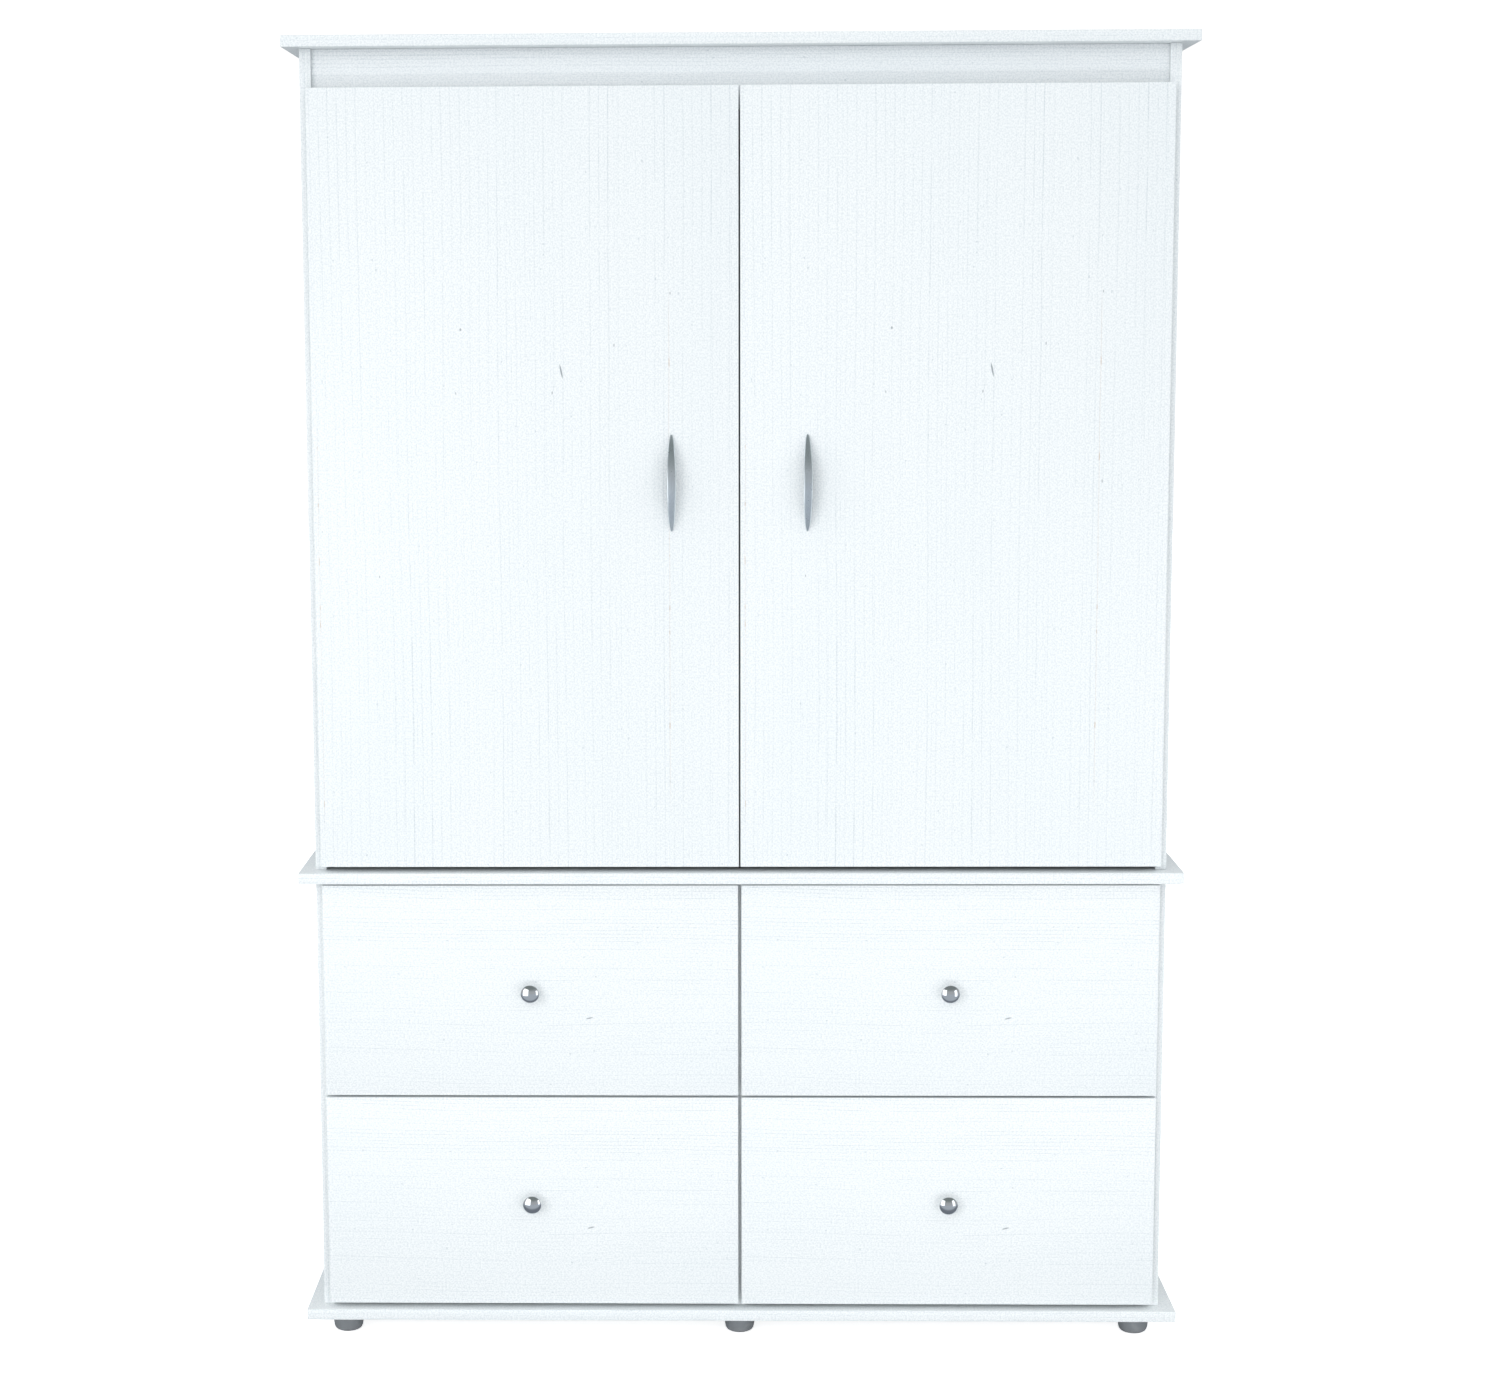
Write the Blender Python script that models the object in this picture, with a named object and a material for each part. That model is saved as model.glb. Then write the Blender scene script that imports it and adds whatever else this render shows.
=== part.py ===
"""Two-door, four-drawer armoire in whitewashed wood-grain board.

The hanging cupboard stands on a chest of drawers. A top board, a middle board and a base
board run through and project past the side panels at the front and at both ends. Metres,
+Z up. The origin is on the floor, in the middle of the piece; the doors face -Y.
"""
import math

import bmesh
import bpy
from mathutils import Vector

# ---- driving dimensions ----
GAP = 0.0003
BOARD = 0.015
BOARD_WIDTH = 1.200
CARCASS_WIDTH = 1.158
FOOT_HEIGHT = 0.030
LOWER_HEIGHT = 0.600
UPPER_HEIGHT = 1.100
FRONT_OVERHANG = 0.025
PANEL_FRONT = -0.215
BACK = 0.260
BACK_THICKNESS = 0.003
RAIL_HEIGHT = 0.082
RAIL_SETBACK = 0.008
FACE_GAP = 0.0015

DOOR_OUTER = 0.5695
DOOR_MEETING = 0.0011
DOOR_BOTTOM = 0.6675
DOOR_TOP = 1.7080
DRAWER_OUTER = 0.5685
DRAWER_MEETING = 0.0023
DRAWER_LEVELS = {"lower": (0.0517, 0.3450), "upper": (0.3482, 0.6415)}

HANDLE_X = 0.0905
HANDLE_LENGTH = 0.129
HANDLE_WIDTH = 0.0110
HANDLE_PROJECTION = 0.0285
HANDLE_ARCH = 0.0205
HANDLE_ARCH_HALF = 0.040
KNOB_RADIUS = 0.0128
KNOB_PROJECTION = 0.025

FOOT_INSET = 0.051
FOOT_TOP_RADIUS = 0.0215
FOOT_LOW_RADIUS = 0.0195

ROD_HEIGHT = 1.640
ROD_Y = 0.025
ROD_TALL = 0.030
ROD_WIDE = 0.015
ROD_WALL = 0.0012

CUP_RADIUS = 0.0175
CUP_DEPTH = 0.0115
CUP_EDGE = 0.0050
HINGE_OFFSET = 0.110
LINK_INNER = 0.0220
LINK_OUTER = 0.0350
LINK_GAUGE = 0.0014
LINK_SWEEP = (14.5, 74.0)
ARM_HALF = 0.0060

WRAP = 0.012
DRAWER_BOX_HEIGHT = 0.190
DRAWER_BOX_LIFT = 0.025
DRAWER_BOX_LENGTH = 0.440
SLIDE_SPACE = 0.0125
SLIDE_HEIGHT = 0.036
SLIDE_DEPTH = 0.011
SLIDE_GAUGE = 0.0014
SLIDE_LIFT = 0.055
DRAWER_FLOOR_LIFT = 0.010

# ---- levels and planes that follow from them ----
BASE_LOW = FOOT_HEIGHT
BASE_TOP = BASE_LOW + BOARD
MID_LOW = BASE_TOP + LOWER_HEIGHT
MID_TOP = MID_LOW + BOARD
CORNICE_LOW = MID_TOP + UPPER_HEIGHT
CORNICE_TOP = CORNICE_LOW + BOARD
BOARD_FRONT = PANEL_FRONT - FRONT_OVERHANG
FACE_BACK = PANEL_FRONT - FACE_GAP
FACE_FRONT = FACE_BACK - BOARD
SIDE_OUT = CARCASS_WIDTH / 2.0
SIDE_IN = SIDE_OUT - BOARD
BACK_IN = BACK - BACK_THICKNESS
HINGE_LEVELS = {
    "bottom": DOOR_BOTTOM + HINGE_OFFSET,
    "top": DOOR_TOP - HINGE_OFFSET,
}
SIDES = {"left": -1.0, "right": 1.0}


# ---- scene and materials ----
def clear_scene():
    """Take every object, mesh and material out of the file."""
    for item in list(bpy.data.objects):
        bpy.data.objects.remove(item, do_unlink=True)
    for mesh in list(bpy.data.meshes):
        bpy.data.meshes.remove(mesh)
    for material in list(bpy.data.materials):
        bpy.data.materials.remove(material)


def principled(name, colour, roughness, metallic):
    """Return a Principled material with one colour."""
    material = bpy.data.materials.new(name)
    material.use_nodes = True
    shader = material.node_tree.nodes["Principled BSDF"]
    shader.inputs["Base Color"].default_value = (*colour, 1.0)
    shader.inputs["Roughness"].default_value = roughness
    shader.inputs["Metallic"].default_value = metallic
    material.diffuse_color = (*colour, 1.0)
    return material


def make_palette():
    """Return the finishes of the armoire by name."""
    return {
        "board": principled("whitewashed_board", (0.84, 0.87, 0.87), 0.45, 0.0),
        "back": principled("back_hardboard", (0.78, 0.79, 0.78), 0.70, 0.0),
        "wrap": principled("drawer_wrap", (0.80, 0.81, 0.80), 0.55, 0.0),
        "satin": principled("satin_metal", (0.62, 0.65, 0.68), 0.28, 1.0),
        "chrome": principled("chrome", (0.80, 0.82, 0.84), 0.07, 1.0),
        "zinc": principled("zinc_steel", (0.62, 0.63, 0.64), 0.35, 1.0),
        "plastic": principled("grey_plastic", (0.20, 0.21, 0.22), 0.50, 0.0),
    }


# ---- shape helpers ----
def add_object(name, bm, origin, material, smooth=False, parent=None):
    """Turn a bmesh built round its origin into a placed, named object."""
    bmesh.ops.recalc_face_normals(bm, faces=bm.faces)
    mesh = bpy.data.meshes.new(name)
    bm.to_mesh(mesh)
    bm.free()
    if smooth:
        mesh.shade_smooth()
        mesh.set_sharp_from_angle(angle=math.radians(35.0))
    item = bpy.data.objects.new(name, mesh)
    item.data.materials.append(material)
    bpy.context.scene.collection.objects.link(item)
    place(item, origin, parent)
    return item


def place(item, origin, parent):
    """Put an object's origin at a world point, under a parent that isn't turned."""
    point = Vector(origin)
    if parent is not None:
        item.parent = parent
        point = point - world_origin(parent)
    item.location = point


def world_origin(item):
    """Return the world position of an object whose parents aren't turned."""
    point = item.location.copy()
    above = item.parent
    while above is not None:
        point = point + above.location
        above = above.parent
    return point


def box_mesh(low, high, origin):
    """Return a bmesh box between two world corners, measured from the origin."""
    low = Vector(low) - Vector(origin)
    high = Vector(high) - Vector(origin)
    bm = bmesh.new()
    bmesh.ops.create_cube(bm, size=1.0)
    for vertex in bm.verts:
        vertex.co = Vector(
            (
                low.x if vertex.co.x < 0 else high.x,
                low.y if vertex.co.y < 0 else high.y,
                low.z if vertex.co.z < 0 else high.z,
            )
        )
    return bm


def add_board(name, low, high, material, origin=None, parent=None, ease=0.0):
    """Add a rectangular board, its long edges eased by a narrow bevel if asked."""
    if origin is None:
        origin = (Vector(low) + Vector(high)) / 2.0
    bm = box_mesh(low, high, origin)
    item = add_object(name, bm, origin, material, parent=parent)
    if ease > 0.0:
        bevel = item.modifiers.new("eased_edges", "BEVEL")
        bevel.width = ease
        bevel.segments = 1
        bevel.limit_method = "ANGLE"
        bevel.angle_limit = math.radians(40.0)
    return item


def stack_rings(rings, close_start=True, close_end=True):
    """Return a bmesh skin through rings of equal length, its two ends closed by faces."""
    bm = bmesh.new()
    rows = []
    for ring in rings:
        rows.append([bm.verts.new(point) for point in ring])
    count = len(rows[0])
    for lower, upper in zip(rows[:-1], rows[1:]):
        for index in range(count):
            after = (index + 1) % count
            bm.faces.new((lower[index], lower[after], upper[after], upper[index]))
    if close_start:
        bm.faces.new(list(reversed(rows[0])))
    if close_end:
        bm.faces.new(rows[-1])
    return bm


def loop_rings(rings):
    """Return a bmesh skin through rings that come back to the first, like a tube's wall."""
    bm = bmesh.new()
    rows = []
    for ring in rings:
        rows.append([bm.verts.new(point) for point in ring])
    count = len(rows[0])
    for position in range(len(rows)):
        lower = rows[position]
        upper = rows[(position + 1) % len(rows)]
        for index in range(count):
            after = (index + 1) % count
            bm.faces.new((lower[index], lower[after], upper[after], upper[index]))
    return bm


def turned(profile, segments, axis):
    """Return rings turned about an axis from (radius, height) pairs."""
    rings = []
    for radius, height in profile:
        ring = []
        for step in range(segments):
            angle = 2.0 * math.pi * step / segments
            across = radius * math.cos(angle)
            along = radius * math.sin(angle)
            if axis == "z":
                ring.append(Vector((across, along, height)))
            else:
                ring.append(Vector((across, height, along)))
        rings.append(ring)
    return rings


def prism(outline, low, high, axis):
    """Return a bmesh prism: a closed 2-D outline pushed along one axis."""
    rings = []
    for level in (low, high):
        ring = []
        for first, second in outline:
            if axis == "z":
                ring.append(Vector((first, second, level)))
            else:
                ring.append(Vector((first, level, second)))
        rings.append(ring)
    return stack_rings(rings)


def add_union(item, other):
    """Fuse another solid into an object, and keep the other as a hidden guide."""
    union = item.modifiers.new("fused", "BOOLEAN")
    union.operation = "UNION"
    union.solver = "EXACT"
    union.object = other
    hide_cutter(other)


def hide_cutter(item):
    """Mark a solid as a guide that isn't part of the armoire."""
    item.hide_render = True
    item.display_type = "WIRE"


# ---- carcass ----
def build_boards(palette):
    """Add the three through boards, which project at the front and at both ends."""
    half = BOARD_WIDTH / 2.0
    levels = {
        "cornice_top": (CORNICE_LOW, CORNICE_TOP),
        "mid_board": (MID_LOW, MID_TOP),
        "base_board": (BASE_LOW, BASE_TOP),
    }
    for name, (low, high) in levels.items():
        add_board(
            name,
            (-half, BOARD_FRONT, low),
            (half, BACK, high),
            palette["board"],
            ease=0.0007,
        )


def build_panels(palette):
    """Add the side panels, the partition, the top rail and the two back panels."""
    for side, sign in SIDES.items():
        edges = sorted((sign * SIDE_IN, sign * SIDE_OUT))
        for section, low, high in (
            ("upper", MID_TOP, CORNICE_LOW),
            ("lower", BASE_TOP, MID_LOW),
        ):
            add_board(
                f"{section}_side_{side}",
                (edges[0], PANEL_FRONT, low + GAP),
                (edges[1], BACK_IN - GAP, high - GAP),
                palette["board"],
            )
    add_board(
        "drawer_partition",
        (-BOARD / 2.0, PANEL_FRONT, BASE_TOP + GAP),
        (BOARD / 2.0, BACK_IN - GAP, MID_LOW - GAP),
        palette["board"],
    )
    rail_front = PANEL_FRONT + RAIL_SETBACK
    add_board(
        "top_rail",
        (-SIDE_IN + GAP, rail_front, CORNICE_LOW - RAIL_HEIGHT),
        (SIDE_IN - GAP, rail_front + BOARD, CORNICE_LOW - GAP),
        palette["board"],
    )
    for name, low, high in (
        ("upper_back", MID_TOP, CORNICE_LOW),
        ("lower_back", BASE_TOP, MID_LOW),
    ):
        add_board(
            name,
            (-SIDE_OUT, BACK_IN, low + GAP),
            (SIDE_OUT, BACK, high - GAP),
            palette["back"],
        )


def build_feet(palette):
    """Add six turned feet under the base board, three at the front and three at the back."""
    profile = [
        (FOOT_LOW_RADIUS - 0.0042, 0.0),
        (FOOT_LOW_RADIUS - 0.0018, 0.0007),
        (FOOT_LOW_RADIUS - 0.0004, 0.0024),
        (FOOT_LOW_RADIUS, 0.0048),
        (FOOT_TOP_RADIUS, FOOT_HEIGHT - 0.0030),
        (FOOT_TOP_RADIUS, FOOT_HEIGHT - GAP),
    ]
    across = {
        "left": -BOARD_WIDTH / 2.0 + FOOT_INSET,
        "middle": 0.0,
        "right": BOARD_WIDTH / 2.0 - FOOT_INSET,
    }
    along = {"front": BOARD_FRONT + FOOT_INSET, "rear": BACK - FOOT_INSET}
    for row, y in along.items():
        for column, x in across.items():
            bm = stack_rings(turned(profile, 24, "z"))
            add_object(
                f"foot_{row}_{column}", bm, (x, y, 0.0), palette["plastic"], smooth=True
            )


# ---- hanging rod ----
def stadium(tall, wide, segments):
    """Return the outline of an upright oval with straight sides, as (y, z) pairs."""
    radius = wide / 2.0
    straight = tall / 2.0 - radius
    points = []
    for step in range(segments):
        angle = 2.0 * math.pi * (step + 0.5) / segments
        shift = straight if math.sin(angle) > 0 else -straight
        points.append((radius * math.cos(angle), radius * math.sin(angle) + shift))
    return points


def across_ring(outline, x):
    """Place a (y, z) outline at a distance along X."""
    return [Vector((x, y, z)) for y, z in outline]


def build_rod(palette):
    """Add the oval clothes rod and the two sockets that carry it."""
    segments = 20
    outer = stadium(ROD_TALL, ROD_WIDE, segments)
    inner = stadium(ROD_TALL - 2.0 * ROD_WALL, ROD_WIDE - 2.0 * ROD_WALL, segments)
    plate = 0.002
    end = SIDE_IN - GAP - plate - GAP
    rings = [
        across_ring(outer, -end),
        across_ring(outer, end),
        across_ring(inner, end),
        across_ring(inner, -end),
    ]
    bm = loop_rings(rings)
    add_object("hanging_rod", bm, (0.0, ROD_Y, ROD_HEIGHT), palette["chrome"], smooth=True)

    fit = stadium(ROD_TALL + 2.0 * GAP, ROD_WIDE + 2.0 * GAP, segments)
    collar = stadium(ROD_TALL + 0.0036, ROD_WIDE + 0.0036, segments)
    flange = stadium(ROD_TALL + 0.022, ROD_WIDE + 0.014, segments)
    for side, sign in SIDES.items():
        face = -sign * GAP
        shoulder = -sign * (GAP + plate)
        mouth = -sign * (GAP + plate + 0.010)
        rings = [
            across_ring(flange, face),
            across_ring(flange, shoulder),
            across_ring(collar, shoulder),
            across_ring(collar, mouth),
            across_ring(fit, mouth),
            across_ring(fit, shoulder),
        ]
        bm = stack_rings(rings)
        add_object(
            f"rod_socket_{side}",
            bm,
            (sign * SIDE_IN, ROD_Y, ROD_HEIGHT),
            palette["zinc"],
            smooth=True,
        )


# ---- doors ----
def handle_rings(front):
    """Return the sections of a leaf-shaped bow handle, from its low tip to its high tip."""
    half = HANDLE_LENGTH / 2.0
    marks = [0.0, 0.10, 0.22, 0.34, 0.44, 0.52, 0.575, 0.61, 0.620, 0.66, 0.74, 0.84, 0.92, 0.97, 1.0]
    levels = [-mark for mark in reversed(marks[1:])] + marks
    rings = []
    for mark in levels:
        z = mark * half
        share = abs(mark)
        width = HANDLE_WIDTH * max(1.0 - share ** 2.0, 0.0) ** 0.55 + 0.0006
        outer = 0.0016 + (HANDLE_PROJECTION - 0.0016) * (1.0 - share ** 2.1)
        arch = abs(z) / HANDLE_ARCH_HALF
        under = GAP
        if arch < 1.0:
            under = GAP + HANDLE_ARCH * (1.0 - arch ** 2.0) ** 0.62
        ring = []
        for step in range(9):
            angle = math.pi * step / 8.0
            crown = 0.28 * min(outer - under, 0.009)
            across = -0.5 * width * math.cos(angle)
            depth = outer - crown + crown * math.sin(angle)
            ring.append(Vector((across, front - depth, z)))
        ring.append(Vector((0.5 * width * 0.86, front - under, z)))
        ring.append(Vector((-0.5 * width * 0.86, front - under, z)))
        rings.append(ring)
    return rings


def arc(radius, start, stop, steps):
    """Return points of an arc about the door's axis, between two angles in degrees."""
    points = []
    for step in range(steps + 1):
        angle = math.radians(start + (stop - start) * step / steps)
        points.append((radius * math.cos(angle), radius * math.sin(angle)))
    return points


def sector(inner, outer, start, stop):
    """Return the outline of a curved bar about the door's axis."""
    return arc(outer, start, stop, 12) + arc(inner, stop, start, 12)


def hinge_prism(outline, sign, low, high):
    """Return a prism of an outline given inward from, and behind, the door's axis."""
    return prism([(-sign * inward, behind) for inward, behind in outline], low, high, "z")


def fuse_prism(item, outline, sign, low, high, origin, material, label):
    """Fuse a further prism into a hinge piece."""
    bm = hinge_prism(outline, sign, low, high)
    add_union(item, add_object(f"guide_{label}_{item.name}", bm, origin, material))


def build_hinge_arm(side, place_name, level, palette):
    """Add a hinge arm: a screwed plate, and a channel that curves round the door's axis."""
    sign = SIDES[side]
    zinc = palette["zinc"]
    origin = (sign * DOOR_OUTER, FACE_FRONT, level)
    outer = LINK_OUTER
    low, high = LINK_SWEEP
    turn = 60.5
    straight = outer * math.cos(math.radians(turn))
    tail = 0.0785
    cheek = arc(outer, low, turn, 10)
    cheek += [(straight, tail), (0.0067, tail)]
    cheek += arc(LINK_INNER, high, low, 12)
    edge = ARM_HALF - LINK_GAUGE
    arm = add_object(
        f"hinge_arm_{side}_{place_name}",
        hinge_prism(cheek, sign, edge, ARM_HALF),
        origin,
        zinc,
    )
    fuse_prism(arm, cheek, sign, -ARM_HALF, -edge, origin, zinc, "cheek")
    trim = 0.0002
    web = arc(outer - trim, low + 0.3, turn, 10)
    web += [(straight - trim, tail - trim), (straight - LINK_GAUGE, tail - trim)]
    web += arc(outer - LINK_GAUGE, turn + 1.0, low + 0.3, 10)
    fuse_prism(arm, web, sign, trim - ARM_HALF, ARM_HALF - trim, origin, zinc, "web")
    wall = DOOR_OUTER - SIDE_IN
    plate = [
        (wall + GAP, 0.0400),
        (wall + 0.0024, 0.0400),
        (wall + 0.0024, 0.0720),
        (wall + GAP, 0.0720),
    ]
    fuse_prism(arm, plate, sign, -0.0240, 0.0240, origin, zinc, "plate")


def build_hinge_link(side, place_name, level, palette):
    """Add the curved link that runs inside the arm and turns half as far as the door."""
    sign = SIDES[side]
    zinc = palette["zinc"]
    origin = (sign * DOOR_OUTER, FACE_FRONT, level)
    outer = LINK_OUTER - LINK_GAUGE - GAP
    half = ARM_HALF - LINK_GAUGE - GAP
    inner = LINK_INNER + 0.0002
    edge = half - LINK_GAUGE
    cheek = sector(inner, outer, *LINK_SWEEP)
    link = add_object(
        f"hinge_link_{side}_{place_name}",
        hinge_prism(cheek, sign, edge, half),
        origin,
        zinc,
    )
    fuse_prism(link, cheek, sign, -half, -edge, origin, zinc, "cheek")
    trim = 0.0002
    web = sector(outer - LINK_GAUGE, outer - trim, LINK_SWEEP[0] + 0.3, LINK_SWEEP[1] - 0.3)
    fuse_prism(link, web, sign, trim - half, half - trim, origin, zinc, "web")


def cup_rings(sign):
    """Return the rings of a hinge cup with an oval screw flange, about the door's axis."""
    segments = 28
    radius = CUP_RADIUS - GAP
    wall = 0.0010
    back = BOARD
    bottom = back - (CUP_DEPTH - GAP)
    shift = -sign * (CUP_EDGE + CUP_RADIUS)
    flange_top = back + GAP + 0.0009
    inner = radius - wall
    steps = (
        (radius, radius, bottom),
        (radius, radius, back + GAP),
        (0.0195, 0.0310, back + GAP),
        (0.0195, 0.0310, flange_top),
        (inner, inner, flange_top),
        (inner, inner, bottom + wall),
    )
    rings = []
    for wide, tall, level in steps:
        ring = []
        for step in range(segments):
            angle = 2.0 * math.pi * step / segments
            across = shift + wide * math.cos(angle)
            ring.append(Vector((across, level, tall * math.sin(angle))))
        rings.append(ring)
    return rings


def build_hinge_cup(side, place_name, level, palette, door):
    """Add a hinge cup, bored into the door, with the curved bar that stands in it."""
    sign = SIDES[side]
    zinc = palette["zinc"]
    origin = (sign * DOOR_OUTER, FACE_FRONT, level)
    cup = add_object(
        f"hinge_cup_{side}_{place_name}",
        stack_rings(cup_rings(sign)),
        origin,
        zinc,
        smooth=True,
        parent=door,
    )
    half = ARM_HALF - 2.0 * (LINK_GAUGE + GAP)
    outer = LINK_OUTER - 2.0 * (LINK_GAUGE + GAP)
    inner = LINK_INNER + 0.0004
    bottom = BOARD - (CUP_DEPTH - GAP) + 0.0005
    bar = [(inner, bottom), (outer - 0.001, bottom)] + sector(inner, outer, *LINK_SWEEP)
    fuse_prism(cup, bar, sign, -half, half, origin, zinc, "bar")


def build_door(side, palette):
    """Add one door with its handle and its hinges, turning at its outer front corner."""
    sign = SIDES[side]
    axis = (sign * DOOR_OUTER, FACE_FRONT, (DOOR_BOTTOM + DOOR_TOP) / 2.0)
    xs = sorted((sign * DOOR_MEETING, sign * DOOR_OUTER))
    door = add_board(
        f"door_{side}",
        (xs[0], FACE_FRONT, DOOR_BOTTOM),
        (xs[1], FACE_BACK, DOOR_TOP),
        palette["board"],
        origin=axis,
        ease=0.0007,
    )
    cup_x = sign * (DOOR_OUTER - CUP_EDGE - CUP_RADIUS)
    for place_name, level in HINGE_LEVELS.items():
        bore_bm = stack_rings(
            turned([(CUP_RADIUS, -CUP_DEPTH), (CUP_RADIUS, 0.006)], 28, "y")
        )
        bore = add_object(
            f"guide_bore_{side}_{place_name}",
            bore_bm,
            (cup_x, FACE_BACK, level),
            palette["board"],
        )
        cut = door.modifiers.new("bore_" + place_name, "BOOLEAN")
        cut.operation = "DIFFERENCE"
        cut.solver = "EXACT"
        cut.object = bore
        hide_cutter(bore)
        build_hinge_cup(side, place_name, level, palette, door)
        build_hinge_arm(side, place_name, level, palette)
        build_hinge_link(side, place_name, level, palette)
    bm = stack_rings(handle_rings(0.0))
    add_object(
        f"handle_{side}",
        bm,
        (sign * HANDLE_X, FACE_FRONT, (DOOR_BOTTOM + DOOR_TOP) / 2.0),
        palette["satin"],
        smooth=True,
        parent=door,
    )


# ---- drawers ----
def knob_profile():
    """Return the (radius, height) profile of a domed knob, from its foot to its crown."""
    points = [
        (0.0070, GAP),
        (0.0070, 0.0016),
        (0.0056, 0.0034),
        (0.0052, 0.0080),
        (0.0060, 0.0112),
        (0.0092, 0.0138),
        (KNOB_RADIUS - 0.0006, 0.0156),
        (KNOB_RADIUS, 0.0174),
    ]
    crown = KNOB_PROJECTION - 0.0174
    for step in range(1, 7):
        angle = 0.5 * math.pi * step / 7.0
        points.append((KNOB_RADIUS * math.cos(angle), 0.0174 + crown * math.sin(angle)))
    points.append((0.0012, KNOB_PROJECTION))
    return points


def drawer_cell(sign):
    """Return the inner faces, in X, of the carcass opening that a drawer runs in."""
    return sorted((sign * SIDE_IN, sign * BOARD / 2.0))


def build_drawer(side, level_name, palette):
    """Add one drawer: front, knob, wrap of sides and back, and floor panel."""
    sign = SIDES[side]
    low, high = DRAWER_LEVELS[level_name]
    tag = f"{level_name}_{side}"
    xs = sorted((sign * DRAWER_MEETING, sign * DRAWER_OUTER))
    centre_x = (xs[0] + xs[1]) / 2.0
    front = add_board(
        f"drawer_front_{tag}",
        (xs[0], FACE_FRONT, low),
        (xs[1], FACE_BACK, high),
        palette["board"],
        ease=0.0007,
    )
    knob_rings = []
    for ring in turned(knob_profile(), 24, "y"):
        knob_rings.append([Vector((point.x, -point.y, point.z)) for point in ring])
    add_object(
        f"drawer_knob_{tag}",
        stack_rings(knob_rings),
        (centre_x, FACE_FRONT, (low + high) / 2.0),
        palette["chrome"],
        smooth=True,
        parent=front,
    )

    cell = drawer_cell(sign)
    outer_low = cell[0] + SLIDE_SPACE
    outer_high = cell[1] - SLIDE_SPACE
    near = FACE_BACK + GAP
    far = near + DRAWER_BOX_LENGTH
    floor = low + DRAWER_BOX_LIFT
    origin = ((outer_low + outer_high) / 2.0, near, floor)
    half = (outer_high - outer_low) / 2.0
    inner = half - WRAP
    outline = [
        (-half, 0.0),
        (-inner, 0.0),
        (-inner, far - near - WRAP),
        (inner, far - near - WRAP),
        (inner, 0.0),
        (half, 0.0),
        (half, far - near),
        (-half, far - near),
    ]
    add_object(
        f"drawer_box_{tag}",
        prism(outline, 0.0, DRAWER_BOX_HEIGHT, "z"),
        origin,
        palette["wrap"],
        parent=front,
    )
    add_board(
        f"drawer_floor_{tag}",
        (outer_low + WRAP + GAP, near, floor + DRAWER_FLOOR_LIFT),
        (outer_high - WRAP - GAP, far - WRAP - GAP, floor + DRAWER_FLOOR_LIFT + 0.003),
        palette["back"],
        parent=front,
    )
    build_slides(side, tag, cell, floor + SLIDE_LIFT, palette)


def build_slides(side, tag, cell, level, palette):
    """Add the two channel rails that carry a drawer, one on each face of its opening."""
    sign = SIDES[side]
    walls = {"outer": cell[0] if sign < 0 else cell[1], "inner": cell[1] if sign < 0 else cell[0]}
    for name, wall in walls.items():
        inward = 1.0 if wall == cell[0] else -1.0
        gauge = SLIDE_GAUGE
        half = SLIDE_HEIGHT / 2.0
        outline = [
            (GAP, -half),
            (SLIDE_DEPTH, -half),
            (SLIDE_DEPTH, -half + gauge),
            (GAP + gauge, -half + gauge),
            (GAP + gauge, half - gauge),
            (SLIDE_DEPTH, half - gauge),
            (SLIDE_DEPTH, half),
            (GAP, half),
        ]
        path = [(inward * x, z) for x, z in outline]
        bm = prism(path, 0.0, DRAWER_BOX_LENGTH, "y")
        add_object(
            f"slide_rail_{tag}_{name}",
            bm,
            (wall, PANEL_FRONT + 0.0025, level),
            palette["zinc"],
        )


def main():
    """Build the armoire."""
    clear_scene()
    palette = make_palette()
    build_boards(palette)
    build_panels(palette)
    build_feet(palette)
    build_rod(palette)
    for side in SIDES:
        build_door(side, palette)
        for level_name in DRAWER_LEVELS:
            build_drawer(side, level_name, palette)
    bpy.context.view_layer.update()


main()
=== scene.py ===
"""Finishes and fine pieces of a two-door, four-drawer armoire in whitewashed board.

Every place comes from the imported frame. Metres, +Z up, doors facing -Y.
"""
import logging
import math
from dataclasses import dataclass, field
from enum import Enum
from typing import Any, Mapping, Optional, Sequence, Union

import bmesh
import bpy
from mathutils import Matrix, Vector


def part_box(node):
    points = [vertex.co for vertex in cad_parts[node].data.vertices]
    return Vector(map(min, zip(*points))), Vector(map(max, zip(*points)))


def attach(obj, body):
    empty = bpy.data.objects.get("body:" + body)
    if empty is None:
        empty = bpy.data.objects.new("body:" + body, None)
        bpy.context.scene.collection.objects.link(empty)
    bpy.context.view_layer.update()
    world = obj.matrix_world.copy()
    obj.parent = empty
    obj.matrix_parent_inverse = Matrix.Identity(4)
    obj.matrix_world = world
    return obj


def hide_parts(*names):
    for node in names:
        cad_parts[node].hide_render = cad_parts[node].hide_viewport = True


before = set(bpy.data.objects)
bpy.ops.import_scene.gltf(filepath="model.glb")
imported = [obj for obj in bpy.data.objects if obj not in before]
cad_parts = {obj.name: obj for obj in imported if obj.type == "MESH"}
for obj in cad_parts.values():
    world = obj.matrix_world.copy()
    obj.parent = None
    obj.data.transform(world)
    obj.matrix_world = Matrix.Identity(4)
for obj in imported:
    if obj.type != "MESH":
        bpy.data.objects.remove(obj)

Triple = tuple[float, float, float]
Number = Union[float, "Signal"]
Facings = Sequence[tuple[Triple, int]]

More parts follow.
